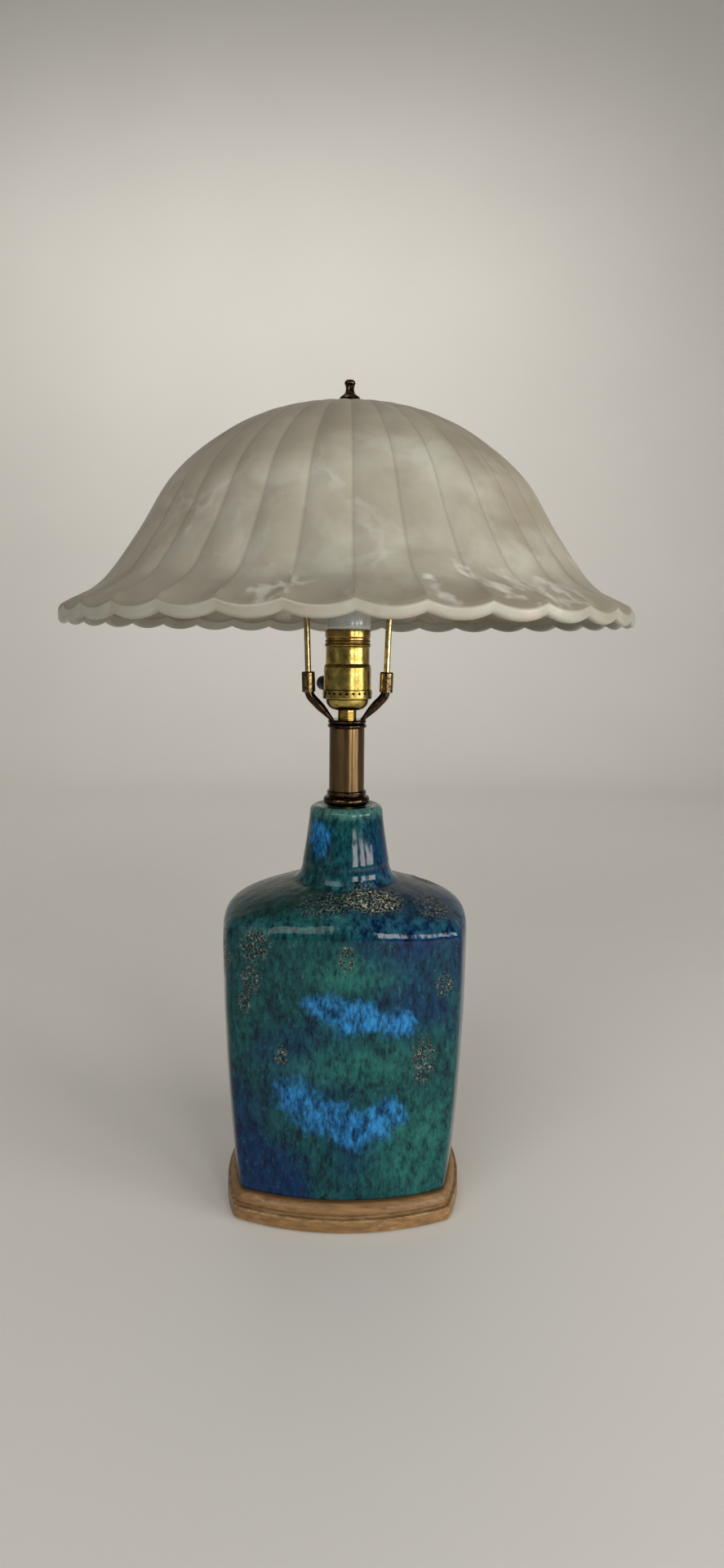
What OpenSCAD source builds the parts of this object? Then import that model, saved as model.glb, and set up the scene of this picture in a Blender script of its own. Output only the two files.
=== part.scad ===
// Table lamp: oblong ceramic body on a wooden plinth, brass stem and keyed socket,
// wire harp and a fluted glass dome shade held by a finial.
// Millimetres, +Z up. The origin is on the resting plane, on the lamp's axis.
// The front faces -Y and the harp spans X.

/* [Plinth] */
// Half the width of the plinth, from the axis to the middle of a side
plinth_half = 79.5; // [78:0.5:84]
// Half the depth of the plinth, from the axis to the middle of its front
plinth_deep = 64.5; // [63:0.5:70]
// Radius of the bowed left and right sides of the plinth and the body
side_bow = 130; // [120:5:240]
// Radius of the bowed front and back of the plinth and the body
front_bow = 174; // [150:5:240]
// Top of the plinth above the table
plinth_top = 17; // [16:0.5:22]
// Height of the square lower band of the plinth
band_h = 8; // [8:0.5:9]
// How far the cove above the band is set back
cove_depth = 2; // [1:0.25:3]
// Thickness of the felt pad
felt_t = 1; // [0.5:0.25:2]
// How far the felt stays inside the plinth's outline
felt_inset = 4; // [2:0.5:8]

/* [Cord outlet] */
// Radius of the hole that the cord would leave by
cord_bore_r = 2.8; // [2.4:0.1:2.9]
// Height of the cord hole above the table
cord_z = 5.2; // [5:0.1:5.4]

/* [Ceramic body] */
// Half width of the body at its foot
foot_half = 73.7; // [68:0.1:76]
// Half depth of the body at its foot
foot_deep = 57.5; // [56:0.1:59]
// Half width that the side's curve is pulled towards
belly_half = 83.3; // [78:0.1:86]
// Half depth that the front's curve is pulled towards
belly_deep = 61; // [57:0.1:64]
// Half width of the body under its shoulder
shoulder_half = 84.4; // [80:0.1:88]
// Half depth of the body under its shoulder
shoulder_deep = 62; // [58:0.1:64]
// Height at which the shoulder starts to turn in
shoulder_z = 174; // [165:1:180]
// Height at which the shoulder meets the neck
crown_z = 210; // [204:1:212]
// Radius of the neck just above the shoulder
neck_foot_r = 30.6; // [28:0.1:33]
// Radius of the neck under its lip
neck_top_r = 25.6; // [22:0.1:27]
// Height of the top of the neck
neck_z = 260; // [250:1:264]
// Thickness of the ceramic wall
wall = 6; // [4:0.5:8]
// Radius of the opening in the foot
foot_hole_r = 42; // [30:1:50]

/* [Stem] */
// Outside radius of the threaded pipe through the lamp
pipe_r = 4.9; // [4.5:0.1:5]
// Radius of the wire way in the pipe
pipe_bore_r = 3.4; // [3:0.1:3.8]
// Outside radius of the bronze neck tube
tube_r = 12.4; // [11.5:0.1:12.8]
// Length of neck tube seen between its two rings
tube_seen = 43.4; // [35:0.1:60]
// Radius of the ring that the tube stands in
foot_ring_r = 16.3; // [15.5:0.1:18]
// Height of that ring
foot_ring_h = 10; // [9:0.5:12]

/* [Socket] */
// Radius of the lower part of the socket shell
shell_r = 16.6; // [16.5:0.05:16.7]
// Radius of the rolled band of the socket cap
cap_r = 17.4; // [17.3:0.1:18]
// Height of the socket from the bottom of the cap to the top of the shell
socket_h = 56.1; // [54:0.1:60]
// Direction of the switch stem, measured from +X
switch_angle = 132; // [120:1:135]
// Distance from the axis to the end of the switch knob
knob_reach = 30.5; // [28:0.5:34]
// Radius of the switch knob
knob_r = 5.2; // [4.2:0.1:5.5]

/* [Harp] */
// Half the distance between the harp's legs at the saddle
leg_x = 27.2; // [26:0.1:30]
// Radius of the harp wire
wire_r = 2.2; // [1.6:0.1:2.4]
// Radius of the locking ferrules
ferrule_r = 4.75; // [4.5:0.05:5.2]
// Length of the locking ferrules
ferrule_l = 14.3; // [12:0.1:15]

/* [Shade] */
// Radius of the shade at its rim
rim_r = 193.4; // [190:0.2:197]
// Number of flutes round the shade
flutes = 34; // [30:1:36]
// Depth of the creases between flutes at the rim
crease_depth = 2.8; // [1.5:0.1:3.5]
// How much higher the rim is at a crease than in the middle of a flute
scallop = 3.8; // [2:0.1:5]
// Thickness of the glass
glass_t = 4; // [3.5:0.1:4.5]
// Direction of one crease, measured from +X
crease_angle = -88; // [-95:0.5:-80]

/* [Bulb] */
// Radius of the round part of the bulb
bulb_r = 30; // [28:0.5:31]
// Length of the bulb from its contact to its crown
bulb_len = 110; // [104:1:114]

/* [Hidden] */

$fn = 96;
gap = 0.3;          // air left between faces of pieces that move apart
fit = 0.1;          // air left round a shaft or a thread
eps = 0.01;

// heights of the stack, from the table up
neck_tube_z = neck_z + foot_ring_h;
top_ring_z = neck_tube_z + tube_seen;
top_ring_h = 3.2;
saddle_z = top_ring_z + top_ring_h;
saddle_t = 2.8;
hub_z = saddle_z + saddle_t;
cap_z = hub_z + 6.6;
cap_band_z = cap_z + 8;
cap_band_h = 6.2;
shell_top = cap_z + socket_h;
step_z = cap_z + 29.8;
switch_z = cap_z + 18;
ferrule_z = cap_z + 12.4;

// the harp's two legs, arcs and top bar
leg_lean = 2;
leg_foot_z = ferrule_z + 8.4;
leg_l = 37;
flare_r = 60;
flare_turn = 28;
bow_r = 95;
bow_turn = 65;
top_r = 28;
harp_pin_r = 3;

// the shade's seat
seat_z = 529.6;
seat_t = 2;
gasket_t = 1.5;
glass_z = seat_z + seat_t + gasket_t;
shade_top = glass_z + glass_t;
washer_t = 1;
finial_z = shade_top + washer_t;
finial_h = 20;
rim_z = 384;
shade_hole_r = 5.5;

// ---------------------------------------------------------------- shared shapes

// Distance from the axis to one bowed side, in direction a
function side_reach(half, bow, a) =
    let (off = bow - half)
    sqrt(bow * bow - pow(off * sin(a), 2)) - off * abs(cos(a));

// Distance from the axis to the pillow-shaped outline; a higher edge is a sharper corner
function pillow(half, deep, edge, a) =
    half * pow(pow(side_reach(half, side_bow, a) / half, -edge)
        + pow(side_reach(deep, front_bow, a + 90) / half, -edge), -1 / edge);

// Distance from the axis to an ellipse
function oval(half, deep, a) = half * deep / norm([deep * cos(a), half * sin(a)]);

// One level ring: square is 1 for the pillow outline and 0 for an ellipse.
// The corners always fall on a point.
function ring(half, deep, z, square, edge, n) =
    [for (i = [0:n - 1])
        let (t = 360 * i / n, a = atan2(deep * sin(t), half * cos(t)),
            o = oval(half, deep, a), r = o + square * (pillow(half, deep, edge, a) - o))
        [r * cos(a), r * sin(a), z]];

// Points of an arc in the plane of radius and height
function arc(c, r, from, to, n) =
    [for (i = [0:n]) let (a = from + (to - from) * i / n) [c.x + r * cos(a), c.y + r * sin(a)]];

// A skin over a stack of rings; looped joins the last ring to the first
module loft(rings, looped = false) {
    n = len(rings[0]);
    m = len(rings);
    last = looped ? m - 1 : m - 2;
    points = [for (r = rings) for (p = r) p];
    sides = [for (i = [0:last], j = [0:n - 1])
        let (k = (j + 1) % n, u = ((i + 1) % m) * n, d = i * n)
        each [[d + j, u + k, d + k], [d + j, u + j, u + k]]];
    caps = looped ? [] : [[for (j = [0:n - 1]) j], [for (j = [n - 1:-1:0]) (m - 1) * n + j]];
    polyhedron(points, concat(sides, caps), convexity = 8);
}

// A round piece turned from its half outline
module turned(outline) {
    rotate_extrude() polygon(outline);
}

// A plain ring or tube
module tube(r, bore, h) {
    difference() {
        cylinder(r = r, h = h);
        translate([0, 0, -1]) cylinder(r = bore, h = h + 2);
    }
}

// Puts a child that is drawn along +Z onto the switch's axis, starting at the lamp's axis
module on_switch_axis(turn = 0) {
    translate([0, 0, switch_z]) rotate([0, 90, switch_angle + turn]) children();
}

// ---------------------------------------------------------------- base

plinth_corner = 80;
ring_points = 64;

module felt_pad() {
    color("darkolivegreen")
        loft([for (z = [0, felt_t])
            ring(plinth_half - felt_inset, plinth_deep - felt_inset, z, 1, plinth_corner, ring_points)]);
}

pocket_r = 24;
pocket_top = 9;
flange_t = 1.2;
flange_r = cord_bore_r + 1.2;
sleeve_r = cord_bore_r + 0.65;
sleeve_l = 13;
bushing_y = plinth_deep - sleeve_l;

// The plinth's moulded edge, as the offset from its half width and the height: a square band,
// a small cove, and an ovolo up to the top
band_top = felt_t + band_h;
band_chamfer = 0.8;
cove_r = 0.9;
ovolo_foot = band_top + 2;
ovolo_w = 5.4;
ovolo_out = -cove_depth - 0.2;
plinth_edge = concat(
    [[-band_chamfer, felt_t], [0, felt_t + band_chamfer], [0, band_top - 0.5], [-0.5, band_top]],
    arc([-cove_depth, band_top + cove_r], cove_r, -90, -180, 3),
    [for (a = [0:15:90])
        [ovolo_out - ovolo_w * (1 - cos(a)), ovolo_foot + (plinth_top - ovolo_foot) * sin(a)]]);

module plinth() {
    color("peru") difference() {
        loft([for (p = plinth_edge)
            ring(plinth_half + p.x, plinth_deep + p.x, p.y, 1, plinth_corner, ring_points)]);
        translate([0, 0, -1]) cylinder(r = pipe_r + 0.5, h = plinth_top + 2);
        translate([0, 0, -1]) cylinder(r = pocket_r, h = pocket_top + 1);
        translate([-cord_bore_r - 1, 0, -1]) cube([2 * cord_bore_r + 2, bushing_y, pocket_top]);
        translate([0, bushing_y - 1, cord_z]) rotate([-90, 0, 0]) {
            cylinder(r = sleeve_r + 0.05, h = sleeve_l + 6);
            translate([0, 0, sleeve_l + 1 - flange_t]) cylinder(r = flange_r + 0.1, h = 6);
        }
    }
}

module cord_bushing() {
    color("black") translate([0, bushing_y, cord_z]) rotate([-90, 0, 0]) difference() {
        union() {
            cylinder(r = sleeve_r, h = sleeve_l);
            translate([0, 0, sleeve_l - flange_t]) cylinder(r = flange_r, h = flange_t);
        }
        translate([0, 0, -1]) cylinder(r = cord_bore_r, h = sleeve_l + 2);
    }
}

base_washer_t = 1.6;
washer_z = pocket_top - base_washer_t;
nut_h = 4.4;
nut_across = 16;

module base_washer() {
    color("gray") translate([0, 0, washer_z]) tube(17, pipe_r + gap, base_washer_t);
}

module base_nut() {
    color("silver") translate([0, 0, washer_z - nut_h]) difference() {
        cylinder(d = nut_across / cos(30), h = nut_h, $fn = 6);
        translate([0, 0, -1]) cylinder(r = pipe_r + fit, h = nut_h + 2);
    }
}

// ---------------------------------------------------------------- ceramic body

foot_edge = 1.6;
body_corner = 110;
fillet_curve = 1.8;     // how the shoulder sweeps up into the neck
neck_curve = 1.4;       // how the neck opens downwards
lip_r = 3;
shoulder_across = 0.85;
shoulder_up = 3.8;
crown_turn = 74;
shoulder_square = 8;    // how soon the shoulder's plan turns round

function body_side(t) =
    foot_half * pow(1 - t, 2) + 2 * belly_half * t * (1 - t) + shoulder_half * t * t;

function body_front(t) =
    foot_deep * pow(1 - t, 2) + 2 * belly_deep * t * (1 - t) + shoulder_deep * t * t;

// Half width, half depth, height and squareness of the shoulder; inset moves it inwards for the inside
function shoulder(a, inset) =
    let (u = pow(cos(a), 2 / shoulder_across), v = pow(sin(a), 2 / shoulder_up))
    [neck_foot_r + (shoulder_half - neck_foot_r) * u - inset,
     neck_foot_r + (shoulder_deep - neck_foot_r) * u - inset,
     shoulder_z + (crown_z - shoulder_z) * v - inset * v, pow(u, shoulder_square)];

function neck_radius(t) = neck_top_r + (neck_foot_r - neck_top_r) * pow(1 - t, neck_curve);

neck_low = crown_z + 9;
neck_high = neck_z - lip_r;
crown_end = shoulder(crown_turn, 0);

// Where the crown meets the neck's foot, r across and r deep
function neck_sweep(t) =
    let (k = 1 - pow(1 - t, fillet_curve))
    [crown_end[0] + (neck_foot_r - crown_end[0]) * k, crown_end[1] + (neck_foot_r - crown_end[1]) * k,
     crown_end[2] + (neck_low - crown_end[2]) * pow(t, fillet_curve), 0];

// The outside, from the edge of the foot's opening up to the hole in the neck's top.
// Each row is half width, half depth, height and squareness.
body_outside = concat(
    [[foot_hole_r, foot_hole_r, plinth_top, 0]],
    [for (p = arc([-foot_edge, plinth_top + foot_edge], foot_edge, -90, 0, 3))
        [foot_half + p.x, foot_deep + p.x, p.y, 1]],
    [for (i = [1:11]) let (t = i / 11)
        [body_side(t), body_front(t), plinth_top + foot_edge + t * (shoulder_z - plinth_top - foot_edge), 1]],
    [for (i = [1:9]) shoulder(crown_turn * i / 9, 0)],
    [for (i = [1:4]) neck_sweep(i / 4)],
    [for (i = [1:5]) let (r = neck_radius(i / 5)) [r, r, neck_low + (neck_high - neck_low) * i / 5, 0]],
    [for (p = arc([neck_top_r - lip_r, neck_high], lip_r, 30, 90, 2)) [p.x, p.x, p.y, 0]],
    [[foot_ring_r - 3, foot_ring_r - 3, neck_z, 0]]);

// The inside, from the hole in the neck's top down to the foot
body_inside = concat(
    [[foot_ring_r - 3, foot_ring_r - 3, neck_z - wall, 0]],
    [for (i = [4:-2:0]) let (r = neck_radius(i / 5) - wall)
        [r, r, neck_low - wall + (neck_high - neck_low) * i / 5, 0]],
    [for (i = [6:-1:1]) shoulder(crown_turn * i / 6, wall)],
    [for (i = [4:-1:0]) let (t = i / 4)
        [body_side(t) - wall, body_front(t) - wall,
         plinth_top + wall + t * (shoulder_z - plinth_top - wall), 1]],
    [[foot_hole_r, foot_hole_r, plinth_top + wall, 0]]);

module ceramic_body() {
    color("teal") loft([for (p = concat(body_outside, body_inside))
        ring(p[0], p[1], p[2], p[3], body_corner, ring_points)], looped = true);
}

// ---------------------------------------------------------------- stem

pipe_foot = washer_z - nut_h - 1;
pipe_head = cap_z + 4;

module threaded_pipe() {
    color("goldenrod") translate([0, 0, pipe_foot]) tube(pipe_r, pipe_bore_r, pipe_head - pipe_foot);
}

ring_low_h = 6.4;
tube_seat = 4;

module foot_ring() {
    step_r = tube_r + 1.4;
    bead = ring_low_h / 2;
    color("saddlebrown") translate([0, 0, neck_z]) rotate_extrude() difference() {
        union() {
            square([foot_ring_r - bead, ring_low_h]);
            translate([foot_ring_r - bead, bead]) circle(r = bead);
            square([step_r - 0.8, foot_ring_h]);
            square([step_r, foot_ring_h - 0.8]);
            translate([step_r - 0.8, foot_ring_h - 0.8]) circle(r = 0.8);
        }
        translate([-1, -1]) square([pipe_r + 0.3 + 1, foot_ring_h + 2]);
        translate([-1, tube_seat]) square([tube_r + 0.05 + 1, foot_ring_h]);
    }
}

module neck_tube() {
    color("darkgoldenrod") translate([0, 0, neck_z + tube_seat])
        tube(tube_r, tube_r - 0.9, foot_ring_h - tube_seat + tube_seen);
}

module top_ring() {
    bead = top_ring_h / 2;
    color("saddlebrown") translate([0, 0, top_ring_z]) rotate_extrude() difference() {
        union() {
            square([tube_r + 1.4 - bead, top_ring_h]);
            translate([tube_r + 1.4 - bead, bead]) circle(r = bead);
        }
        translate([-1, -1]) square([pipe_r + 0.3 + 1, top_ring_h + 2]);
    }
}

// ---------------------------------------------------------------- saddle and ferrules

arm_r = 3.2;
arm_in = 11;
arm_top = ferrule_z + 7.8;
elbow_z = saddle_z + leg_x - arm_in;
knuckle = 0.3;

// One arm of the saddle, towards +X
module saddle_arm() {
    translate([leg_x, 0, elbow_z]) {
        cylinder(r = arm_r, h = arm_top - elbow_z);
        rotate([0, -135, 0]) cylinder(r = arm_r, h = (leg_x - arm_in) * sqrt(2));
        sphere(r = arm_r + knuckle, $fn = 48);
    }
}

module harp_saddle() {
    plate_r = tube_r + 1.2;
    edge = 0.9;
    color("sienna") difference() {
        union() {
            translate([0, 0, saddle_z]) rotate_extrude() {
                square([plate_r - edge, saddle_t]);
                translate([0, edge]) square([plate_r, saddle_t - 2 * edge]);
                translate([plate_r - edge, edge]) circle(r = edge);
                translate([plate_r - edge, saddle_t - edge]) circle(r = edge);
            }
            intersection() {
                union() {
                    saddle_arm();
                    mirror([1, 0, 0]) saddle_arm();
                }
                translate([-50, -10, saddle_z + 0.4]) cube([100, 20, 60]);
            }
        }
        translate([0, 0, saddle_z - 1]) cylinder(r = pipe_r + 0.3, h = saddle_t + 2);
        translate([0, 0, hub_z]) cylinder(r = hub_r + 0.2, h = 12);
    }
}

ferrule_bore = 3.85;

module ferrule(side) {
    color("darkgoldenrod") translate([side * leg_x, 0, ferrule_z]) rotate([0, side * leg_lean, 0])
        rotate_extrude() translate([ferrule_bore, 0]) {
            square([ferrule_r - ferrule_bore, ferrule_l - 0.6]);
            square([ferrule_r - ferrule_bore - 0.6, ferrule_l]);
            translate([ferrule_r - ferrule_bore - 0.6, ferrule_l - 0.6]) circle(r = 0.6);
        }
}

module ferrule_left() {
    ferrule(-1);
}

module ferrule_right() {
    ferrule(1);
}

// ---------------------------------------------------------------- socket

hub_r = 6.6;
cap_t = 0.7;
bowl_r = 15.1;
bowl_corner = 7.6;
dimples = 24;
liner_r = 14.8;
liner_t = 0.5;
block_r = 14.1;
block_top = cap_z + 29.6;
block_foot = cap_z + 3;
screw_r = 13.75;
screw_bore = 13.35;

module cap_hub() {
    color("gold") translate([0, 0, hub_z]) difference() {
        union() {
            cylinder(r = hub_r, h = cap_z - hub_z);
            cylinder(r = 6, h = cap_z - hub_z + cap_t);
            translate([0, 0, cap_z - hub_z + cap_t]) cylinder(r = 7.4, h = 1);
        }
        translate([0, 0, -1]) cylinder(r = pipe_r + fit, h = 20);
        translate([0, 0, 3.4]) rotate([-90, 0, 0]) cylinder(r = 1.6, h = 10);
    }
}

module hub_set_screw() {
    color("gray") translate([0, pipe_r + fit + 0.05, hub_z + 3.4]) rotate([-90, 0, 0]) difference() {
        cylinder(r = 1.5, h = 3);
        translate([-2, -0.3, 2.2]) cube([4, 0.6, 2]);
    }
}

module socket_cap() {
    band = cap_band_z - cap_z;
    top = band + cap_band_h;
    inner = bowl_r - cap_t;
    color("gold") translate([0, 0, cap_z]) difference() {
        turned(concat([[0, 0]],
            arc([bowl_r - bowl_corner, bowl_corner], bowl_corner, -90, 0, 8),
            [[bowl_r, band - 0.4], [cap_r - 0.3, band], [cap_r, band + 0.5], [cap_r, top - 0.5],
             [cap_r - 0.3, top], [0, top]]));
        turned(concat([[0, cap_t]],
            arc([inner - bowl_corner + cap_t, bowl_corner], bowl_corner - cap_t, -90, 0, 8),
            [[inner, band], [shell_r + 0.15, band + cap_t], [shell_r + 0.15, top + 1], [0, top + 1]]));
        translate([0, 0, -1]) cylinder(r = 6.1, h = 3);
        for (a = [0:360 / dimples:359]) rotate([0, 0, a]) translate([cap_r - 0.35, 0, top - 2.2])
            rotate([0, 90, 0]) cylinder(r = 0.55, h = 2, $fn = 16);
    }
}

module cap_liner() {
    color("tan") translate([0, 0, cap_z + 2]) difference() {
        cylinder(r1 = 9, r2 = 13.6, h = 4.6);
        translate([0, 0, 0.5]) cylinder(r1 = 8.6, r2 = 13.2, h = 4.6);
        translate([0, 0, -1]) cylinder(r = 7.8, h = 4);
    }
}

// Keyed switch block: a cavity for the rotor, a way for the shaft, notches for the screws
rotor_r = 5;
rotor_l = 9;
shaft_r = 1.7;
notch = 10.6;

module socket_block() {
    color("saddlebrown") difference() {
        translate([0, 0, block_foot + 5]) cylinder(r = block_r, h = block_top - block_foot - 5);
        on_switch_axis() translate([0, 0, -rotor_l / 2 - gap])
            cylinder(r = rotor_r + 1.2, h = rotor_l + 2 * gap);
        on_switch_axis() cylinder(r = shaft_r + 0.08, h = 20);
        for (turn = [90, 270]) {
            rotate([0, 0, switch_angle + turn]) translate([notch, -5, block_foot])
                cube([10, 10, switch_z - block_foot + 4]);
            on_switch_axis(turn) cylinder(r = 1.75, h = 20);
        }
        translate([0, 0, block_top - 6]) cylinder(r = 1.6, h = 10);
    }
}

module terminal_screws() {
    color("silver") for (turn = [90, 270]) on_switch_axis(turn) {
        difference() {
            union() {
                translate([0, 0, rotor_r + 2]) cylinder(r = 1.65, h = notch - rotor_r - 2 + eps);
                translate([0, 0, notch]) cylinder(r = 3, h = 1.8);
            }
            translate([-0.4, -4, notch + 1]) cube([0.8, 8, 2]);
        }
    }
}

module contact_leaf() {
    leaf_z = switch_z + rotor_r + 0.45;
    color("goldenrod") {
        translate([0, 0, leaf_z]) rotate([0, 0, switch_angle]) translate([-3, -1.5, 0]) cube([6, 3, 0.5]);
        translate([0, 0, leaf_z + 0.5 - eps]) cylinder(r = 1.5, h = block_top - leaf_z - 0.5 + eps);
    }
}

module center_contact() {
    color("goldenrod") translate([0, 0, block_top]) {
        cylinder(r = 4.2, h = 0.6);
        cylinder(r1 = 3.2, r2 = 2, h = 1.5);
    }
}

module screw_shell() {
    color("khaki") translate([0, 0, block_top]) {
        tube(screw_r, screw_bore, shell_top - block_top - 2);
        tube(screw_r, 6, 0.6);
    }
}

module shell_liner() {
    color("tan") difference() {
        translate([0, 0, shell_foot]) tube(liner_r, liner_r - liner_t, shell_top - shell_foot - 1);
        on_switch_axis() cylinder(r = 2.6, h = 30);
    }
}

// The shell: plain skirt inside the cap, a step, and a rolled external thread at the top
shell_t = 0.5;
upper_r = 15.4;
thread_r = 16;
bead_r = 16.25;
shell_foot = cap_band_z + 1;

shell_outside = [
    [shell_r, shell_foot], [shell_r, step_z - 0.2], [shell_r - 0.15, step_z + 0.5],
    [upper_r + 0.15, step_z + 2.1], [upper_r, step_z + 2.8], [upper_r, shell_top - 12],
    [bead_r - 0.2, shell_top - 11.4], [bead_r, shell_top - 10.6], [bead_r - 0.2, shell_top - 9.9],
    [upper_r + 0.1, shell_top - 9.2], [thread_r - 0.1, shell_top - 8.6], [thread_r - 0.1, shell_top - 8],
    [upper_r + 0.1, shell_top - 7], [upper_r + 0.1, shell_top - 5.6], [thread_r, shell_top - 4.8],
    [thread_r, shell_top - 0.4], [thread_r - 0.4, shell_top]];

module socket_shell() {
    color("gold") difference() {
        turned(concat(shell_outside,
            [for (i = [len(shell_outside) - 1:-1:0])
                [min(shell_outside[i].x, i < 4 ? 99 : upper_r) - shell_t, shell_outside[i].y]]));
        on_switch_axis() cylinder(r = 2.4, h = 30);
    }
}

// ---------------------------------------------------------------- switch

shaft_l = knob_reach - 4;
knob_round = 3.4;

module switch_shaft() {
    color("silver") on_switch_axis() translate([0, 0, rotor_l / 2])
        cylinder(r = shaft_r, h = shaft_l - rotor_l / 2);
}

module switch_rotor() {
    color("black") on_switch_axis() translate([0, 0, -rotor_l / 2]) cylinder(r = rotor_r, h = rotor_l);
}

module switch_knob() {
    back = knob_reach - 10;
    color("black") on_switch_axis() difference() {
        union() {
            translate([0, 0, back]) cylinder(r1 = knob_r - 1.4, r2 = knob_r - 0.4, h = 2);
            turned(concat([[0, back + 2], [knob_r - 0.4, back + 2], [knob_r, back + 3.4]],
                arc([knob_r - knob_round, knob_reach - knob_round], knob_round, 0, 90, 6),
                [[0, knob_reach]]));
        }
        translate([0, 0, back - 1]) cylinder(r = shaft_r + 0.02, h = shaft_l - back + 1 + eps);
    }
}

// ---------------------------------------------------------------- bulb

tip_z = block_top + 1.5 + gap;
bulb_mid = tip_z + bulb_len - bulb_r;
base_r = 13.1;
neck_r = base_r - 0.4;
base_z = tip_z + 4.6;
base_top = shell_top - 2;
neck_foot = base_top - 7;
glass_wall = 0.8;
throat_r = 16;
throat_z = shell_top + 2;
// The throat is an arc that leaves the neck upright and runs on into the round part
throat_bend = (pow(throat_r, 2) + pow(bulb_mid - throat_z, 2) - pow(bulb_r, 2))
    / (2 * (bulb_r - throat_r));
meet = atan2(bulb_mid - throat_z, throat_r + throat_bend);

module bulb_contact() {
    color("silver") translate([0, 0, tip_z]) cylinder(r1 = 3, r2 = 4.5, h = 1.4);
}

module bulb_insulator() {
    color("black") translate([0, 0, tip_z + 1.4]) cylinder(r1 = 5.5, r2 = 10.5, h = 3.2);
}

module bulb_base() {
    color("silver") translate([0, 0, base_z]) difference() {
        turned([[0, 0], [10.5, 0], [base_r, 1.8], [base_r, base_top - base_z], [0, base_top - base_z]]);
        translate([0, 0, 2.4]) cylinder(r = neck_r + 0.02, h = 40);
    }
}

// Half outline of the bulb's outer surface, moved inwards by in
function bulb_outline(in) = concat(
    [[neck_r - in, neck_foot], [neck_r - in, base_top], [14.1 - in, shell_top - 0.4],
     [throat_r - 0.4 - in, shell_top + 1]],
    arc([throat_r + throat_bend, throat_z], throat_bend + in, 180, 180 - meet, 10),
    arc([0, bulb_mid], bulb_r - in, 5 - meet, 90, 18));

module bulb_glass() {
    color("white", 0.8) difference() {
        turned(concat([[0, neck_foot]], bulb_outline(0)));
        turned(concat([[0, neck_foot - 1], [neck_r - glass_wall, neck_foot - 1]],
            bulb_outline(glass_wall)));
    }
}

stem_l = 46;

module bulb_stem() {
    color("lightcyan") translate([0, 0, neck_foot]) {
        cylinder(r1 = neck_r - glass_wall, r2 = 4, h = 16);
        cylinder(r = 1.6, h = stem_l);
    }
}

module bulb_filament() {
    color("gray") translate([0, 0, neck_foot + stem_l]) {
        for (side = [-1, 1]) translate([side * 9, 0, 0]) cylinder(r = 0.4, h = 6, $fn = 16);
        translate([-9.4, 0, 5.6]) rotate([0, 90, 0]) cylinder(r = 0.5, h = 18.8, $fn = 16);
        translate([-9.4, -0.4, 0]) cube([18.8, 0.8, 0.8]);
    }
}

// ---------------------------------------------------------------- harp

foot_rise = leg_foot_z - ferrule_z;
leg_start = [leg_x + foot_rise * sin(leg_lean), leg_foot_z, leg_lean];
leg_end = leg_start + [leg_l * sin(leg_lean), leg_l * cos(leg_lean), 0];

// Points of a bend in the wire as [x, z, heading]; a heading is measured from +Z towards +X
function bend(p, r, turn, n) =
    let (side = sign(turn), h = p[2])
    [for (i = [1:n]) let (t = turn * i / n)
        [p.x + side * r * (cos(h) - cos(h + t)), p.y + side * r * (sin(h + t) - sin(h)), h + t]];

flare = bend(leg_end, flare_r, flare_turn, 5);
bow = bend(flare[4], bow_r, -bow_turn, 9);
shoulder_bend = bend(bow[8], top_r, -(90 + bow[8][2]), 8);
top_end = shoulder_bend[7];
half_path = concat([leg_start, leg_end], flare, bow, shoulder_bend);
wire_path = concat(half_path, [for (i = [len(half_path) - 1:-1:0])
    let (p = half_path[i]) [-p.x, p.y, -180 - p[2]]]);

module harp_wire() {
    sides = 16;
    loft([for (p = wire_path) [for (i = [0:sides - 1]) let (a = 360 * i / sides)
        [p.x + wire_r * cos(a) * cos(p[2]), wire_r * sin(a), p.y - wire_r * cos(a) * sin(p[2])]]]);
}

harp_top = top_end.y;
eye_h = 4;
eye_r = 7;

module harp_bow() {
    color("darkgoldenrod") difference() {
        union() {
            harp_wire();
            for (side = [-1, 1]) translate([side * leg_start.x, 0, leg_foot_z])
                rotate([0, side * leg_lean, 0]) cylinder(r = wire_r + 0.7, h = 2.5);
            translate([0, 0, harp_top - eye_h / 2]) cylinder(r = eye_r, h = eye_h);
        }
        translate([0, 0, harp_top - eye_h]) cylinder(r = harp_pin_r, h = 2 * eye_h);
    }
}

stud_r = 3.1;
stud_top = finial_z + 10;

module harp_stud() {
    pin_low = harp_top - eye_h / 2 - gap;
    pin_high = harp_top + eye_h / 2 + gap;
    color("goldenrod") {
        translate([0, 0, pin_low - 1.8]) cylinder(r1 = 3.8, r2 = 5, h = 1.8);
        translate([0, 0, pin_low - eps])
            cylinder(r = harp_pin_r - 0.06, h = pin_high - pin_low + 2 * eps);
        translate([0, 0, pin_high]) cylinder(r = stud_r, h = stud_top - pin_high);
    }
}

module seat_disc() {
    low = harp_top + eye_h / 2 + gap;
    color("goldenrod") translate([0, 0, low]) difference() {
        union() {
            cylinder(r = 6, h = seat_z - low + eps);
            translate([0, 0, seat_z - low]) cylinder(r1 = 11.4, r2 = 12, h = seat_t);
        }
        translate([0, 0, -1]) cylinder(r = stud_r + 0.02, h = 20);
    }
}

// ---------------------------------------------------------------- shade

module shade_gasket() {
    color("dimgray") translate([0, 0, seat_z + seat_t]) tube(10.4, stud_r + gap, gasket_t);
}

// Points on the shade's outer surface that its smooth profile passes through
shade_knots = [for (p = [[-12, 0.1], [11, 0], [36, 2.6], [70, 13.4], [100, 32.4], [125, 57.8], [145, 93],
        [165, 123.2], [182, 137.2], [rim_r - 1.2, 144.6], [rim_r + 12, 153]])
    [p.x, shade_top - p.y]];
spans = len(shade_knots) - 3;

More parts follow.
